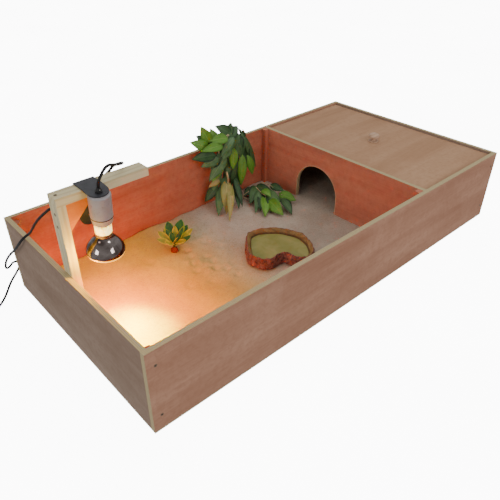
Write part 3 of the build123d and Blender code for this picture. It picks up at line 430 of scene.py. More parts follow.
def water_material():
    """Shallow water over an ochre floor: olive, a little see-through and glossy."""
    paint = Paint("bowl_water_surface", 0.04, 0.4, IOR=1.33, Alpha=0.8)
    drift = paint.noise(26, 3, 0.5, 0.8)
    ripple = paint.noise(40, 2, 0.5)
    paint.set("Base Color", paint.ramp(drift, (0.3, (140, 138, 70)), (0.7, (164, 156, 92))))
    paint.bump(ripple, 0.0006, 0.25)
    return paint.material


def leaf_material(kind, margin, blade, freckle, tint, rib):
    """A cloth leaf: its blade colour varies from leaf to leaf, with a lighter midrib and veins.

    The leaf's U runs across it and V from base to tip, one whole number up for each leaf.
    """
    paint = Paint("leaf_" + kind, 0.45, 0.3)
    margin_share = 0.36 if kind == "variegated" else 0.26
    across = paint.sum("ABSOLUTE", paint.sum("SUBTRACT", paint.part(0, "UV"), 0.5))
    number = paint.sum("FLOOR", paint.part(1, "UV"))
    along = paint.sum("FRACT", paint.part(1, "UV"))
    luck = paint.make("TexWhiteNoise", {"W": number}, noise_dimensions="1D").outputs["Value"]
    cloud = paint.noise(55, 3, 0.6)
    colour = paint.mix(paint.step(cloud, 0.35, 0.7), blade, freckle)
    colour = paint.mix(paint.sum("MULTIPLY", luck, 0.55), colour, tint)
    slant = paint.sum("SUBTRACT", paint.sum("MULTIPLY", along, 9.0), paint.sum("MULTIPLY", across, 5.0))
    off_vein = paint.sum("ABSOLUTE", paint.sum("SUBTRACT", paint.sum("FRACT", slant), 0.5))
    veins = paint.step(off_vein, 0.43, 0.5)
    colour = paint.mix(paint.sum("MULTIPLY", veins, 0.28), colour, rib)
    ragged = paint.sum("MULTIPLY", paint.sum("SUBTRACT", cloud, 0.5), 0.3)
    at_margin = paint.step(paint.sum("ADD", across, ragged), margin_share, margin_share + 0.2)
    colour = paint.mix(at_margin, colour, margin)
    midrib = paint.sum("SUBTRACT", 1.0, paint.step(across, 0.008, 0.035))
    colour = paint.mix(paint.sum("MULTIPLY", midrib, 0.6), colour, rib)
    paint.set("Base Color", colour)
    relief = paint.bump(veins, 0.0004, 0.5)
    weave = paint.noise(1500, 2, 0.6)
    paint.bump(weave, 0.00012, 0.5, relief)
    return paint.material


# The bright and dark cloths are one green, painted lit and painted in shade
LEAF_COLOURS = {
    "bright": ((84, 124, 42), (92, 138, 48), (112, 152, 58), (78, 122, 44), (136, 164, 84)),
    "dark": ((40, 60, 36), (58, 86, 52), (46, 70, 44), (76, 106, 60), (92, 118, 78)),
    "grey": ((66, 94, 54), (86, 114, 76), (72, 100, 66), (96, 126, 70), (118, 142, 102)),
    "tan": ((132, 132, 66), (164, 146, 88), (146, 122, 74), (132, 140, 80), (188, 174, 120)),
    "variegated": ((160, 166, 44), (34, 84, 36), (28, 68, 32), (52, 100, 40), (64, 112, 44)),
    "golden": ((190, 170, 36), (70, 108, 30), (120, 132, 34), (176, 158, 40), (80, 112, 36)),
}
leaf_cloths = {kind: leaf_material(kind, *colours) for kind, colours in LEAF_COLOURS.items()}


def paint_node(node, material):
    """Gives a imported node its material."""
    slots = NODES[node].material_slots
    for slot in slots:
        slot.material = material
    if not slots:
        NODES[node].data.materials.append(material)


NODE_MATERIALS = {
    ply_long: ["front_board", "back_board"],
    ply_end: ["left_end_board", "right_end_board"],
    ply_divider: ["hide_divider"],
    ply_lid: ["lid_panel"],
    ply_base: ["base_panel"],
    ply_gusset: ["lamp_gusset"],
    pine_upright: ["lamp_post"],
    pine_beam: ["lamp_beam"],
    stained_upright: [
        "corner_batten_front_left", "corner_batten_back_left", "corner_batten_front_right",
        "corner_batten_back_right", "divider_batten_front", "divider_batten_back",
    ],
    ledge_along: ["lid_ledge_front", "lid_ledge_back"],
    ledge_across: ["lid_ledge_end"],
    knob_wood: ["lid_knob"],
    dark_screw: [
        "board_screws", "divider_screws", "ledge_screws", "base_pins", "arm_screws", "lid_knob_screw",
    ],
    zinc: ["bracket_screws", "grip_screw"],
    bracket_paint: ["lamp_bracket"],
    black_plastic: [
        "holder_nipple", "nipple_nut", "cord_grip", "holder_seam", "plug_body", "bulb_insulator",
    ],
    glaze: ["holder_body", "holder_skirt"],
    core_glaze: ["socket_core"],
    brass: ["socket_shell", "socket_contact", "socket_terminals"],
    nickel: ["bulb_cap", "bulb_contact", "bulb_filament", "plug_pins"],
    flex_rubber: ["plug_strain_relief", "lamp_flex", "flex_coil"],
    wire_green: ["foliage_hook"],
}
for material, names in NODE_MATERIALS.items():
    for name in names:
        paint_node(name, material)


def add_mesh(name, places, faces, materials, smooth=True):
    """Makes a mesh object from places and faces."""
    mesh = bpy.data.meshes.new(name)
    mesh.from_pydata([tuple(place) for place in places], [], faces)
    for material in materials:
        mesh.materials.append(material)
    mesh.polygons.foreach_set("use_smooth", [smooth] * len(mesh.polygons))
    mesh.update()
    return add_object(name, mesh)


def ring_faces(first, beyond, turns, flipped=False):
    """Faces between two rings of places, which start at two numbers in their list."""
    faces = []
    for number in range(turns):
        ahead = (number + 1) % turns
        face = (first + number, first + ahead, beyond + ahead, beyond + number)
        faces.append((face[0], face[3], face[2], face[1]) if flipped else face)
    return faces


def grid_faces(first, rows, columns):
    """Faces between places that lie in rows."""
    wide = columns + 1
    corners = [first + row * wide + column for row in range(rows) for column in range(columns)]
    return [(corner, corner + 1, corner + wide + 1, corner + wide) for corner in corners]


def metres(*rows):
    """Rows of millimetres as rows of metres."""
    return [tuple(value / 1000 for value in row) for row in rows]


# Lamp flex, in millimetres: its route from the cord grip to the coil behind the left end, and across
# and height for each half turn of the coil
FLEX_ROUTE = metres(
    (-522, -52.7, 393.2), (-522, -54, 405.2), (-518.8, -55.1, 413.8), (-511.8, -53.1, 421.3),
    (-500.8, -45.6, 425.9), (-485.8, -35.1, 425.9), (-468, -24, 416.5), (-450, -10, 407),
    (-436, 3, 400), (-429, 16, 394.5), (-432, 28, 389.5), (-441.5, 36, 384.5), (-453, 37.5, 372),
    (-475, 36.5, 364.5), (-501, 35.5, 358), (-530, 37, 352), (-557, 43, 344), (-577, 57, 329),
    (-589, 78, 310), (-598, 106, 283), (-602, 136, 251), (-602, 162, 227), (-610, 172, 218),
    (-619, 185, 203), (-622, 212, 176), (-622, 249, 146), (-622, 299, 108), (-622, 340, 73),
    (-620, 375, 40), (-619, 394, 14), (-612.5, 404, 3.2), (-602, 410, 3.2), (-593, 421, 3.2),
    (-583.3, 422.1, 3.2), (-575.5, 416.2, 3.2), (-574, 406.5, 3.2), (-583.8, 392.6, 3.2),
    (-601, 370, 3.2), (-621, 349, 3.2), (-638, 327, 3.2), (-655, 301, 3.2), (-675, 275, 3.2),
    (-701, 252, 3.2), (-735, 238.75, 3.2), (-760, 238.75, 3.2),
)
COIL_X, COIL_Y = -0.775, 0.280
COIL_STEPS = 10
TURN_PITCH = 0.0066
COIL_PLACES = metres(
    (41.25, 3.2), (-37.95, 3.2), (34.65, 3.2), (-31.35, 3.2), (28.05, 3.2), (-24.75, 3.2),
    (21.45, 9.8), (-28.05, 9.8), (31.35, 9.8),
)


def coil_points():
    """Control points round the coil's half turns, a little outside the turns themselves."""
    points = []
    for (near, low), (far, high) in zip(COIL_PLACES, COIL_PLACES[1:]):
        middle = COIL_Y - (near + far) / 2
        radius = abs(near - far) / 2
        side = -1 if near > 0 else 1
        outside = radius / cos(pi / COIL_STEPS / 2) ** 0.5
        for number in range(COIL_STEPS):
            angle = pi * (number + 0.5) / COIL_STEPS
            along = -cos(angle) if near > 0 else cos(angle)
            share = (number + 0.5) / COIL_STEPS
            height = low + (high - low) * share
            points.append((COIL_X + side * sin(angle) * outside, middle + along * outside, height))
    last, height = COIL_PLACES[-1]
    quarter = last + TURN_PITCH / 4
    middle = COIL_Y - last + quarter
    for number in range(COIL_STEPS // 2):
        angle = pi * (number + 0.5) / COIL_STEPS
        outside = quarter / cos(pi / COIL_STEPS / 2) ** 0.5
        points.append((COIL_X - sin(angle) * outside, middle - cos(angle) * outside, height))
    end_x = COIL_X - quarter
    points.append((end_x, middle + 0.006, height))
    points.append((end_x, middle + 0.036, height))
    return points


def add_flex():
    """The flex as one smooth spline: its free route, then the coil's turns."""
    points = FLEX_ROUTE + coil_points()
    curve = bpy.data.curves.new("flex", "CURVE")
    curve.dimensions = "3D"
    curve.bevel_depth = FLEX_DIAMETER / 2
    curve.bevel_resolution = 5
    curve.use_fill_caps = True
    curve.resolution_u = 8
    spline = curve.splines.new("NURBS")
    spline.points.add(len(points) - 1)
    for point, place in zip(spline.points, points):
        point.co = (*place, 1.0)
    spline.order_u = 3
    spline.use_endpoint_u = True
    curve.materials.append(flex_rubber)
    piece = add_object("flex", curve)
    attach(piece, "table")
    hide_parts("lamp_flex", "flex_coil")


add_flex()


# Bulb
def lit_glass(name, roughness, coat, strength, pattern, *stops):
    """Clear or frosted glass with the light behind it."""
    paint = Paint(name, roughness, Coat_Weight=coat)
    paint.shine(paint.ramp(paint.noise(*pattern), *stops), strength)
    return paint.material


def silvering(name, metallic, spread, least, pattern, *stops):
    """Silvered glass with swirls in the coating, which also change its roughness."""
    paint = Paint(name, Metallic=metallic)
    swirl = paint.noise(*pattern)
    paint.set("Base Color", paint.ramp(swirl, *stops))
    paint.set("Roughness", paint.sum("ADD", paint.sum("MULTIPLY", swirl, spread), least))
    return paint.material


NECK_STOPS = ((0.3, (216, 140, 20)), (0.46, (255, 214, 90)), (0.62, (255, 244, 180)))
BAND_STOPS = ((0.3, (96, 72, 54)), (0.7, (160, 128, 96)))
MIRROR_STOPS = ((0.35, (76, 64, 60)), (0.65, (134, 124, 120)))
FACE_STOPS = ((0.3, (255, 170, 50)), (0.7, (255, 206, 96)))

# Half section of the glass from the neck down: radius and height in millimetres, and which surface
# it starts
BULB_SECTION = [
    (15.5, 317.9, 0), (16.9, 316.5, 0), (17.3, 314.3, 0), (17.3, 308, 0), (17.3, 303, 0),
    (17.3, 298.5, 1), (17.3, 294.5, 1), (17.4, 290.9, 2), (18.2, 288, 2), (19.7, 285, 2),
    (22.2, 281.8, 2), (25.2, 278.8, 2), (29, 274.2, 2), (32.8, 269.5, 2), (36, 264.8, 2),
    (38.3, 260, 2), (39.6, 256, 2), (40, 254.5, 2), (39.9, 252, 3), (39.2, 249.5, 3),
    (37, 246.4, 3), (31, 242.8, 3), (22, 240.6, 3), (11, 239.6, 3),
]
BULB_TIP = 0.2394
BULB_TURNS = 96


def add_bulb():
    """The glass as a turned skin with its zones of silvering."""
    places = turned(BULB_SECTION, BULB_TURNS)
    places.append(on_lamp(0, 0, BULB_TIP))
    faces = []
    zones = []
    for ring, (_, _, zone) in enumerate(BULB_SECTION[:-1]):
        faces += ring_faces(ring * BULB_TURNS, (ring + 1) * BULB_TURNS, BULB_TURNS, flipped=True)
        zones += [zone] * BULB_TURNS
    low = (len(BULB_SECTION) - 1) * BULB_TURNS
    for number in range(BULB_TURNS):
        faces.append((low + number, len(places) - 1, low + (number + 1) % BULB_TURNS))
        zones.append(3)
    zone_materials = [
        lit_glass("bulb_neck", 0.15, 0.6, 2.6, ((160, 160, 110), 4, 0.7, 1.0), *NECK_STOPS),
        silvering("bulb_band", 0.7, 0.2, 0.3, ((200, 200, 60), 4, 0.6), *BAND_STOPS),
        silvering("bulb_mirror", 1.0, 0.06, 0.02, (26, 3, 0.5, 1.0), *MIRROR_STOPS),
        lit_glass("bulb_face", 0.4, 0, 2.0, (120, 3, 0.5), *FACE_STOPS),
    ]
    piece = add_mesh("bulb_envelope", places, faces, zone_materials)
    for face, zone in zip(piece.data.polygons, zones):
        face.material_index = zone
    thick = piece.modifiers.new("thickness", "SOLIDIFY")
    thick.thickness = 0.0009
    thick.offset = -1
    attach(piece, "bulb")
    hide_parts("bulb_glass")


add_bulb()


# Section of the seam's ring: radius and height in millimetres
SEAM_SECTION = [(22.6, 337.2), (22.6, 335.4), (21.6, 335.6), (21.6, 337)]


def add_seam():
    """The dark joint line round the porcelain holder."""
    turns = 64
    places = turned(SEAM_SECTION, turns)
    faces = []
    rings = len(SEAM_SECTION)
    for ring in range(rings):
        faces += ring_faces(ring * turns, (ring + 1) % rings * turns, turns, flipped=True)
    piece = add_mesh("seam_ring", places, faces, [seam_rubber])
    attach(piece, "table")
    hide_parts("holder_seam")


add_seam()


# Sand
SAND_STEP = 0.0050
BOWL_CENTRE = Vector((-0.040, -0.059, 0))
PLANT_PLACE = Vector((-0.238, 0.146, 0))
# Marks in the sand: pixel of the picture, then reach and rise in millimetres
SAND_MARKS = [
    (187, 250, 11, -7.5), (191, 256, 10, -7.8), (194, 263, 10, -7.8), (197, 271, 11, -6.9),
    (188, 262, 11, 5.1), (200, 262, 11, 4.5), (207, 256, 12, -6), (213, 261, 10, -7.8),
    (216, 268, 10, -7.5), (209, 270, 12, 5.1), (226, 268, 11, -6), (232, 262, 9, -6.6),
    (239, 267, 9, -7.8), (238, 274, 10, -6), (205, 241, 14, -5.1), (221, 246, 14, -4.5),
    (198, 232, 14, 3.6), (212, 280, 13, -6), (190, 285, 14, -5.4), (170, 270, 15, 4.2),
    (150, 262, 16, -4.8), (300, 205, 22, 4.5), (330, 225, 24, 4.5),
]
SAND_DENTS = [(at_height(u, v, 20), reach / 1000, rise / 1000) for u, v, reach, rise in SAND_MARKS]


def sand_height(x, y):
    """Height of the sand's surface at a place."""
    spot = Vector((x, y, 0))
    height = SAND_TOP - 0.0012
    height += 0.0042 * noise.noise(spot * 7.0)
    height += 0.0020 * noise.noise(spot * 19.0 + Vector((3, 1, 5)))
    height += 0.0008 * noise.noise(spot * 55.0 + Vector((8, 4, 2)))
    for mark, reach, rise in SAND_DENTS:
        away = ((x - mark.x) ** 2 + (y - mark.y) ** 2) / reach**2
        height += rise * 2.718 ** (-away * 1.6)
    wall = min(INNER_LENGTH - abs(x), INNER_WIDTH - abs(y))
    bank = 0.002 + 0.005 * noise.noise(spot * 16.0 + Vector((2, 7, 4)))
    height += bank * max(0.0, 1 - wall / 0.05) ** 2
    bowl = (spot - BOWL_CENTRE).length
    calm = min(1.0, max(0.0, (bowl - 0.106) / 0.03))
    return SAND_TOP - 0.0004 + (height - SAND_TOP + 0.0004) * calm


def add_sand():
    """The sand's rolling surface with its sides down to the base."""
    columns = int(2 * INNER_LENGTH / SAND_STEP)
    rows = int(2 * INNER_WIDTH / SAND_STEP)
    places = []
    for row in range(rows + 1):
        y = INNER_WIDTH * (2 * row / rows - 1)
        for column in range(columns + 1):
            x = INNER_LENGTH * (2 * column / columns - 1)
            places.append((x, y, sand_height(x, y)))
    faces = grid_faces(0, rows, columns)
    wide = columns + 1
    rim = list(range(wide)) + [row * wide + columns for row in range(1, rows + 1)]
    rim += [rows * wide + column for column in range(columns - 1, -1, -1)]
    rim += [row * wide for row in range(rows - 1, 0, -1)]
    first = len(places)
    places += [(places[number][0], places[number][1], 0.0041) for number in rim]
    for index, number in enumerate(rim):
        ahead = (index + 1) % len(rim)
        faces.append((number, first + index, first + ahead, rim[ahead]))
    piece = add_mesh("sand_surface", places, faces, [sand_material()])
    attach(piece, "table")
    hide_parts("sand_bed")


add_sand()


# Bowl and water: shares of its length and width round the outline
BOWL_SHARES = [
    (-0.5, 0.08), (-0.43, -0.13), (-0.31, -0.21), (-0.07, -0.18), (-0.05, -0.4), (0.1, -0.5),
    (0.29, -0.44), (0.44, -0.25), (0.5, -0.01), (0.37, 0.29), (0.09, 0.49), (-0.14, 0.5),
    (-0.35, 0.29),
]
BOWL_LENGTH = 0.190
BOWL_WIDTH = 0.204
BOWL_FOOT = 0.0202
BOWL_STEPS = 12


def smooth_loop(corners, steps):
    """Points of a closed smooth curve round the corners."""
    loop = []
    count = len(corners)
    for index in range(count):
        before, here, after = corners[index - 1], corners[index], corners[(index + 1) % count]
        start = (before + here) / 2
        end = (here + after) / 2
        near_start = start.lerp(here, 0.86)
        near_end = end.lerp(here, 0.86)
        for number in range(steps):
            t = number / steps
            near = start * (1 - t) ** 3 + near_start * 3 * t * (1 - t) ** 2
            loop.append(near + near_end * 3 * t**2 * (1 - t) + end * t**3)
    return loop


BOWL_CORNERS = [Vector((x * BOWL_LENGTH, y * BOWL_WIDTH, 0)) for x, y in BOWL_SHARES]
BOWL_LOOP = smooth_loop(BOWL_CORNERS, BOWL_STEPS)


def loop_normals(loop):
    """Outward directions of a closed counterclockwise loop."""
    normals = []
    for index in range(len(loop)):
        along = loop[(index + 1) % len(loop)] - loop[index - 1]
        normals.append(Vector((along.y, -along.x, 0)).normalized())
    return normals


BOWL_NORMALS = loop_normals(BOWL_LOOP)

# Rings of the bowl's skin: set in from the outline, height and roughness, all in millimetres, and
# how far on the inside, where values past 1.2 paint a band of shade just above the water
BOWL_RINGS = [
    (1.8, 20.4, 1.2, 0.0), (-0.4, 23.6, 3, 0.0), (0.4, 29, 4, 0.0), (1, 35, 4.4, 0.0),
    (1.6, 41, 4.2, 0.0), (2.4, 47, 3.8, 0.0), (3.2, 52.5, 3.2, 0.0), (3.8, 56, 3.4, 0.0),
    (5, 57.8, 3, 0.1), (7.2, 56.6, 2.4, 0.6), (10.4, 53, 1.8, 1.0), (14, 48.6, 1.4, 1.4),
    (16.6, 43, 1, 2.0), (18.6, 38, 0.8, 1.0), (20, 33, 0.6, 1.0), (21.4, 30.2, 0.3, 1.0),
]
BOWL_MIDDLE = Vector((0.008, 0.020, 0))
WATER_LEVEL = 0.0425


def add_bowl():
    """The bowl's craggy skin, and the water inside it."""
    places = []
    inner = []
    count = len(BOWL_LOOP)
    for *sizes, inside in BOWL_RINGS:
        inset, height, rough = (size / 1000 for size in sizes)
        for place, normal in zip(BOWL_LOOP, BOWL_NORMALS):
            spot = place - normal * inset
            knock = noise.noise(Vector((spot.x, spot.y, height)) * 75.0)
            knock += 0.6 * noise.noise(Vector((spot.x, spot.y, height)) * 170.0 + Vector((5, 2, 9)))
            spot = spot + normal * (rough * knock)
            lift = 0.0
            if height > 0.05:
                lift = 0.0030 * noise.noise(Vector((place.x, place.y, 0)) * 95.0) - 0.0012
            places.append(BOWL_CENTRE + Vector((spot.x, spot.y, height + lift)))
            inner.append(inside)
    faces = []
    for ring in range(len(BOWL_RINGS) - 1):
        faces += ring_faces(ring * count, (ring + 1) * count, count)
    last = (len(BOWL_RINGS) - 1) * count
    places.append(BOWL_CENTRE + BOWL_MIDDLE + UP * 0.0290)
    inner.append(1.0)
    faces += [(last + number, last + (number + 1) % count, len(places) - 1) for number in range(count)]
    places.append(BOWL_CENTRE + BOWL_MIDDLE + UP * (BOWL_FOOT + 0.0001))
    inner.append(0.0)
    faces += [((number + 1) % count, number, len(places) - 1) for number in range(count)]
    piece = add_mesh("bowl_rock_skin", places, faces, [bowl_material()])
    attribute = piece.data.attributes.new("inner", "FLOAT", "POINT")
    attribute.data.foreach_set("value", inner)
    soften = piece.modifiers.new("soften", "SUBSURF")
    soften.levels = 1
    soften.render_levels = 1
    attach(piece, "bowl")
    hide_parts("water_bowl")

    places = []
    for inset, drop in ((0.0170, 0.0), (0.0215, 0.0005)):
        for place, normal in zip(BOWL_LOOP, BOWL_NORMALS):
            places.append(BOWL_CENTRE + place - normal * inset + UP * (WATER_LEVEL - drop))
    places.append(BOWL_CENTRE + BOWL_MIDDLE + UP * (WATER_LEVEL - 0.0006))
    faces = ring_faces(0, count, count)
    faces += [(count + n, count + (n + 1) % count, 2 * count) for n in range(count)]
    water = add_mesh("water_surface", places, faces, [water_material()])
    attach(water, "bowl")
    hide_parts("bowl_water")


add_bowl()


# Leaves
class Leaves:
    """Gathers many leaves, and their stems, into one mesh."""

    def __init__(self):
        self.places = []
        self.faces = []
        self.kinds = []
        self.shares = []
        self.number = 0

    def leaf(self, base, tip, width, facing, kind, arch, fold, twist, blunt=False):
        """One leaf from base to tip: arched up along its length and folded at its midrib.

        A blunt one is widest near its tip.
        """
        along = tip - base
        length = along.length
        ahead = along.normalized()
        up = (facing - ahead * facing.dot(ahead)).normalized()
        side = ahead.cross(up)
        first = len(self.places)
        long_steps, wide_steps = 10, 6
        for row in range(long_steps + 1):
            t = row / long_steps
            if blunt:
                half = width / 2 * max(0.01, sin(pi * t**1.35)) ** 0.62
            else:
                half = width / 2 * max(0.02, sin(pi * t**0.78)) ** 0.85 * (1 - 0.12 * t)
            roll = twist * (t - 0.5)
            out = side * cos(roll) + up * sin(roll)
            over = up * cos(roll) - side * sin(roll)
            middle = base + along * t + up * (arch * length * 4 * t * (1 - t))
            for column in range(wide_steps + 1):
                s = column / wide_steps * 2 - 1
                wave = 0.05 * half * sin(7 * t + 2.2 * s + self.number)
                rise = abs(s) ** 1.3 * half * fold + wave * abs(s)
                self.places.append(middle + out * (half * s) + over * rise)
                self.shares.append((column / wide_steps, self.number + min(0.995, max(0.005, t))))
        self.faces += grid_faces(first, long_steps, wide_steps)
        self.kinds += [kind] * (long_steps * wide_steps)
        self.number += 1

    def stem(self, points, radius, kind):
        """A thin tapering stem through points."""
        first = len(self.places)
        turns = 7
        for index, point in enumerate(points):
            before = points[max(0, index - 1)]
            after = points[min(len(points) - 1, index + 1)]
            ahead = (after - before).normalized()
            side = ahead.cross(Vector((0.3, 0.2, 0.93))).normalized()
            up = side.cross(ahead)
            size = radius * (1 - 0.35 * index / len(points))
            for number in range(turns):
                angle = 2 * pi * number / turns
                self.places.append(point + side * (cos(angle) * size) + up * (sin(angle) * size))
                self.shares.append((0.1, self.number + index / len(points)))
        for index in range(len(points) - 1):
            low = first + index * turns
            self.faces += ring_faces(low, low + turns, turns)
            self.kinds += [kind] * turns
        self.number += 1

    def build(self, name, materials, thickness):
        """Makes the piece."""
        piece = add_mesh(name, self.places, self.faces, materials)
        for face, kind in zip(piece.data.polygons, self.kinds):
            face.material_index = kind
        layer = piece.data.uv_layers.new(name="UVMap")
        for loop in piece.data.loops:
            layer.data[loop.index].uv = self.shares[loop.vertex_index]
        thick = piece.modifiers.new("thickness", "SOLIDIFY")
        thick.thickness = thickness
        thick.offset = 0
        return piece


def smooth_path(points):
    """Points of an open smooth curve through the middles of a run of points."""
    steps = 6
    path = [points[0]]
    for index in range(1, len(points) - 1):
        start = points[0] if index == 1 else (points[index - 1] + points[index]) / 2
        end = points[-1] if index == len(points) - 2 else (points[index] + points[index + 1]) / 2
        for number in range(1, steps + 1):
            t = number / steps
            path.append(start * (1 - t) ** 2 + points[index] * 2 * t * (1 - t) + end * t**2)
    return path


# The spray as the photograph shows it: each place is a pixel of the picture and how many millimetres
# it lies out from the back board, or with a minus, above the floor. The rooted stems start at the root
# The first two kinds of leaf are painted light and painted shade: one green cloth, lighter where light
# falls on the spray and darker where it lies in shade
PAINTED_LIT, PAINTED_SHADE, GREY, TAN, WOOD = 0, 1, 2, 3, 4
SPRAY_ROOT = Vector((0.135, 0.2882, 0.2158))
ROOTED = (0, 2)
SPRAY_STEMS = [
    [(238, 138, 22), (228, 134, 34), (218, 140, 40), (219, 156, 38)],
    [(228, 134, 34), (226, 146, 36), (229, 162, 34), (226, 180, 40)],
    [(242, 142, 16), (243, 156, 22), (243, 170, 28)],
    [(228, 164, 34), (232, 176, 28), (236, 188, 26), (240, 196, -30)],
    [
        (239, 198, -30),
        (248, 192, -42),
        (256, 186, -52),
        (264, 182, -54),
        (273, 187, -50),
        (282, 195, -42),
    ],
    [(256, 187, -52), (260, 192, -50), (266, 196, -44)],
    [(240, 196, -30), (247, 198, -27), (252, 202, -25)],
]
STALK = [(226.5, 172, 54), (228.5, 178, 56), (228, 184, 56), (227.5, 190, 54)]
# Leaves: base, tip, width in millimetres and kind
SPRAY_LEAVES = [
    (231, 134, 30, 215, 126, 14, 36, PAINTED_SHADE), (227, 139, 34, 237.5, 126, 22, 36, PAINTED_SHADE),
    (229, 137, 30, 231, 122.5, 16, 29, PAINTED_SHADE), (243, 136, 14, 238, 128, 8, 12, PAINTED_SHADE),
    (245, 137, 12, 242.5, 129, 6, 11, PAINTED_SHADE), (210, 143, 36, 201, 126.5, 22, 36, PAINTED_LIT),
    (217, 144, 38, 210, 128.5, 24, 31, PAINTED_LIT), (228, 138, 44, 209, 141, 40, 35, PAINTED_LIT),
    (208, 144, 32, 196, 136, 18, 34, PAINTED_SHADE), (210, 149, 40, 190, 142.5, 24, 39, PAINTED_LIT),
    (223, 146, 44, 207, 142, 30, 19, PAINTED_SHADE), (223, 145, 52, 202, 151.5, 58, 32, PAINTED_LIT),
    (234, 137, 46, 221, 157, 52, 28, GREY), (216, 155, 40, 192, 159.5, 18, 38, PAINTED_SHADE),
    (219, 158, 44, 201, 167.5, 26, 32, GREY), (220, 160, 38, 210.5, 169, 34, 23, PAINTED_SHADE),
    (230, 146, 44, 222.5, 160, 50, 31, GREY), (234, 148, 50, 233, 169.5, 58, 29, PAINTED_LIT),
    (236, 132, 32, 232, 150, 46, 36, GREY), (238, 133, 26, 239.5, 155, 36, 32, PAINTED_SHADE),
    (237, 142, 40, 241, 157, 44, 25, GREY), (242, 133, 18, 241.5, 157, 32, 24, GREY),
    (242, 154, 34, 241, 185.5, 44, 32, PAINTED_LIT), (245, 136, 8, 255.5, 167, 12, 23, GREY),
    (247, 155, 24, 252.5, 174.5, 30, 28, PAINTED_LIT), (230, 140, 20, 228, 172, 22, 35, PAINTED_SHADE),
    (235, 148, 18, 236, 186, 22, 32, PAINTED_SHADE), (223, 146, 20, 218, 172, 22, 35, PAINTED_SHADE),
    (245, 138, 6, 248, 168, 8, 27, PAINTED_SHADE), (236, 158, 32, 231, 187, 36, 23, PAINTED_SHADE),
    (226, 156, 40, 209, 182, 44, 36, GREY), (224, 166, 46, 212, 182, 52, 21, PAINTED_LIT),
    (230, 158, 34, 224, 187, 40, 29, PAINTED_SHADE), (232, 160, 40, 226, 176, 46, 21, GREY),
    (220, 152, 38, 216, 168, 42, 20, PAINTED_SHADE), (226, 180, 44, 226.5, 214, -28, 40, TAN),
    (223, 184, 40, 218.5, 216, -26, 36, GREY), (230, 183, 46, 229.5, 221, -24, 25, TAN),
    (220, 180, 40, 208.5, 187.5, 30, 19, TAN), (218, 185, 36, 205, 202, 20, 32, PAINTED_SHADE),
    (235, 181, 40, 239, 209, -26, 23, PAINTED_SHADE), (226, 176, 40, 222, 196, 50, 29, GREY),
    (256, 186, -52, 250, 204, -30, 38, PAINTED_SHADE), (259, 191, -48, 255.5, 213, -25, 28, GREY),
    (256, 186, -53, 272, 191, -52, 29, PAINTED_SHADE), (262, 190, -52, 271, 197, -49, 28, PAINTED_LIT),
    (265, 192, -48, 282, 202, -38, 35, GREY), (279, 193.5, -44, 296, 200.5, -30, 36, PAINTED_LIT),
    (264, 197, -46, 265, 217, -25, 34, PAINTED_LIT), (269, 200, -44, 283.5, 215.5, -25, 43, PAINTED_LIT),
    (282, 198, -42, 292, 214.5, -25, 31, PAINTED_SHADE), (270, 185, -52, 284, 191, -49, 27, PAINTED_SHADE),
    (262, 194, -42, 260, 211, -26, 27, PAINTED_SHADE), (268, 197, -38, 271, 213, -25, 27, PAINTED_SHADE),
    (252, 188, -40, 244, 196, -26, 29, PAINTED_SHADE), (216, 148, 20, 203, 138, 14, 30, PAINTED_SHADE),
    (234, 178, 44, 242.5, 207, -26, 20, PAINTED_SHADE), (236, 178, 38, 238.5, 201, -30, 24, GREY),
    (236, 164, 30, 238, 192, 32, 26, PAINTED_SHADE), (222, 150, 34, 228, 176, 34, 30, PAINTED_SHADE),
    (214, 150, 30, 214, 134, 22, 26, PAINTED_SHADE), (238, 144, 26, 246, 172, 24, 24, PAINTED_SHADE),
    (221, 172, 34, 212, 193, 30, 26, GREY),
]


def spray_place(u, v, depth):
    """A place of the spray, by the back board or at a height."""
    return by_board(u, v, depth) if depth > 0 else at_height(u, v, -depth)


def add_spray():
    """The artificial vine: stems and cloth leaves."""
    leaves = Leaves()
    for number, stem in enumerate(SPRAY_STEMS):
        points = [spray_place(*place) for place in stem]
        if number in ROOTED:
            points.insert(0, SPRAY_ROOT)
        leaves.stem(smooth_path(points), 0.0015, WOOD)
    leaves.stem(smooth_path([spray_place(*place) for place in STALK]), 0.0026, WOOD)
    for number, (*ends, width, kind) in enumerate(SPRAY_LEAVES):
        base, tip = spray_place(*ends[:3]), spray_place(*ends[3:])
        sway = 0.3 * sin(number * 2.4)
        facing = Vector((-0.5 + sway, -0.62, 0.58 - 0.3 * sway))
        arch = 0.07 + 0.03 * sin(number * 1.7)
        leaves.leaf(base, tip, width / 1000, facing, kind, arch, 0.16, 0.3 * sin(number * 3.1))
    cloths = [leaf_cloths[kind] for kind in ("bright", "dark", "grey", "tan")]
    piece = leaves.build("spray_leaves", cloths + [stem_bark], 0.0007)
    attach(piece, "spray")
    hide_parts("foliage_spray")


add_spray()

PLANT_CROWN = PLANT_PLACE + UP * 0.0335
VARIEGATED, GOLDEN, STALKS = 0, 1, 2
# Leaves: pixel of the tip, how much nearer it is than the crown in millimetres, width and kind
PLANT_LEAVES = [
    (167.5, 221.5, -12, 30, VARIEGATED), (181.5, 219.5, -16, 32, VARIEGATED),
    (175, 226, -4, 18, GOLDEN), (187.5, 225, -10, 26, VARIEGATED), (192.5, 228.5, 2, 20, GOLDEN),
    (191, 235.5, 10, 18, VARIEGATED), (158, 231.5, 2, 20, GOLDEN), (164, 229, -8, 22, VARIEGATED),
    (157, 239, 14, 17, GOLDEN), (165, 242, 22, 16, GOLDEN), (171, 232, 12, 18, VARIEGATED),
    (182, 231, 12, 18, VARIEGATED), (186, 240, 20, 15, GOLDEN), (177, 238, 34, 15, GOLDEN),
]


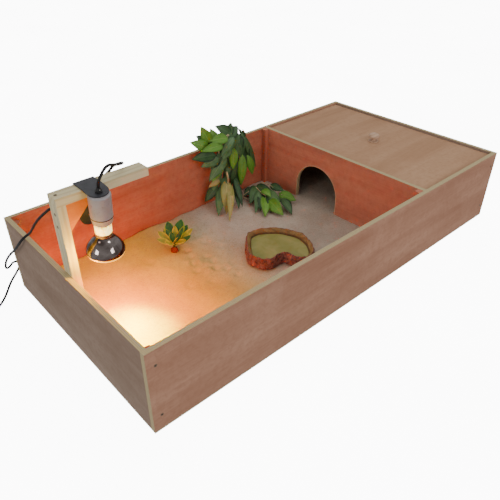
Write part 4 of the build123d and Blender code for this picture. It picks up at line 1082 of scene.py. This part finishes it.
def add_plant():
    """The small variegated plant and its rocky foot."""
    leaves = Leaves()
    stem = [PLANT_CROWN - UP * 0.004, PLANT_CROWN + UP * 0.006, PLANT_CROWN + UP * 0.014]
    leaves.stem(stem, 0.0028, STALKS)
    for number, (u, v, nearer, width, kind) in enumerate(PLANT_LEAVES):
        tip = beside(u, v, PLANT_CROWN, nearer)
        shift = Vector((0.0015 * sin(number), 0.0015 * cos(number), 0.002 + 0.0008 * number))
        base = PLANT_CROWN + shift
        outward = tip - base
        reach = Vector((outward.x, outward.y, 0)).length
        facing = Vector((-outward.x, -outward.y, 0.7 * reach + 0.01)) - CAMERA_AHEAD * (1.2 * reach)
        leaves.leaf(base, tip, width / 1000, facing, kind, -0.06, 0.3, 0.3 * sin(number * 2.0), True)
    cloths = [leaf_cloths["variegated"], leaf_cloths["golden"], wire_green]
    piece = leaves.build("plant_rosette", cloths, 0.0008)
    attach(piece, "plant")
    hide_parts("plant_leaves")

    places = []
    faces = []
    turns, rings = 20, 7
    for ring in range(rings + 1):
        t = ring / rings
        radius = 0.0104 * sqrt(max(0.0, 1 - (t * 0.94) ** 2.4))
        height = 0.0203 + 0.0130 * t
        for number in range(turns):
            angle = 2 * pi * number / turns
            x, y = cos(angle), sin(angle)
            knock = 1 + 0.3 * noise.noise(Vector((x * 2, y * 2, t * 3)))
            places.append(PLANT_PLACE + Vector((x * radius * knock, y * radius * knock, height)))
    for ring in range(rings):
        faces += ring_faces(ring * turns, (ring + 1) * turns, turns)
    faces.append(tuple(range(turns - 1, -1, -1)))
    faces.append(tuple(rings * turns + number for number in range(turns)))
    foot_rock = dull("foot_rock", (132, 62, 40), (78, 36, 26), 0.75, 300, 0.0014, 0.1)
    foot = add_mesh("plant_foot_rock", places, faces, [foot_rock])
    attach(foot, "plant")
    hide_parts("plant_foot")


add_plant()


# Floor and light
FLOOR_REACH = 40.0
FLOOR_GLOW = 11.0


def add_floor():
    """Plain pale floor and far walls that show white and throw no light or shadow on the table."""
    paint = Paint("floor_paper", 0.9, 0.1)
    haze = paint.noise(2, 2, 0.5)
    white = paint.ramp(haze, (0.3, (0.93, 0.93, 0.93, 1)), (0.7, (0.96, 0.96, 0.96, 1)))
    paint.shine(white, FLOOR_GLOW)
    corners = [(-FLOOR_REACH, -FLOOR_REACH), (FLOOR_REACH, -FLOOR_REACH), (FLOOR_REACH, FLOOR_REACH)]
    corners.append((-FLOOR_REACH, FLOOR_REACH))
    places = [(x, y, -0.0002) for x, y in corners]
    places += [(x, y, FLOOR_REACH) for x, y in corners]
    faces = [(0, 1, 2, 3)] + ring_faces(0, 4, 4)
    floor = add_mesh("floor", places, faces, [paint.material], smooth=False)
    floor.visible_diffuse = False
    floor.visible_glossy = False
    floor.visible_shadow = False


def add_light(name, kind, place, target, power, size, colour, height=None):
    """Adds a lamp that points from place to target."""
    data = bpy.data.lights.new(name, kind)
    data.energy = power
    data.color = colour
    if kind == "AREA":
        data.shape = "RECTANGLE"
        data.size = size
        data.size_y = height or size
    else:
        data.shadow_soft_size = size
    lamp = add_object(name, data)
    lamp.location = place
    lamp.rotation_euler = (Vector(target) - Vector(place)).to_track_quat("-Z", "Y").to_euler()
    lamp.visible_glossy = kind == "AREA"
    return lamp


WHITE = (1, 1, 1)
WARM = (1.0, 0.24, 0.0)
HOT = (0.8, 1.0, 0.0)
NECK_GLOW = (1.0, 0.55, 0.0)
BULB_LOW = on_lamp(0, 0, 0.234)
BULB_AIM = on_lamp(0, 0, 0.0)
HOT_AIM = at_height(130, 338, 20)
NECK_SIDE = on_lamp(0.046, radians(205), 0.262)

add_floor()
add_light("softbox_left", "AREA", (-3.13, -0.39, 1.28), (-0.5, 0, 0.2), 20, 0.9, WHITE, 0.7)
add_light("softbox_right", "AREA", (0.24, -2.54, 1.28), (-0.3, 0, 0.2), 22, 0.9, WHITE, 0.7)
add_light("overhead", "AREA", (0.9, 0.5, 2.9), (0.1, 0, 0), 24, 2.6, WHITE)
wide_beam = add_light("bulb_beam", "SPOT", BULB_LOW, BULB_AIM, 30, 0.03, WARM)
narrow_beam = add_light("bulb_hot_beam", "SPOT", BULB_LOW, HOT_AIM, 52, 0.03, HOT)
for beam, degrees in ((wide_beam, 160), (narrow_beam, 68)):
    beam.data.spot_size = radians(degrees)
    beam.data.spot_blend = 1.0
neck_light = add_light("bulb_neck_light", "POINT", NECK_SIDE, (0, 0, 0), 0.9, 0.008, NECK_GLOW)
for lamp in (wide_beam, narrow_beam, neck_light):
    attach(lamp, "bulb")

world = bpy.data.worlds.new("studio")
world.use_nodes = True
background = world.node_tree.nodes["Background"]
background.inputs["Color"].default_value = (1, 1, 1, 1)
background.inputs["Strength"].default_value = 0.6
bpy.context.scene.world = world
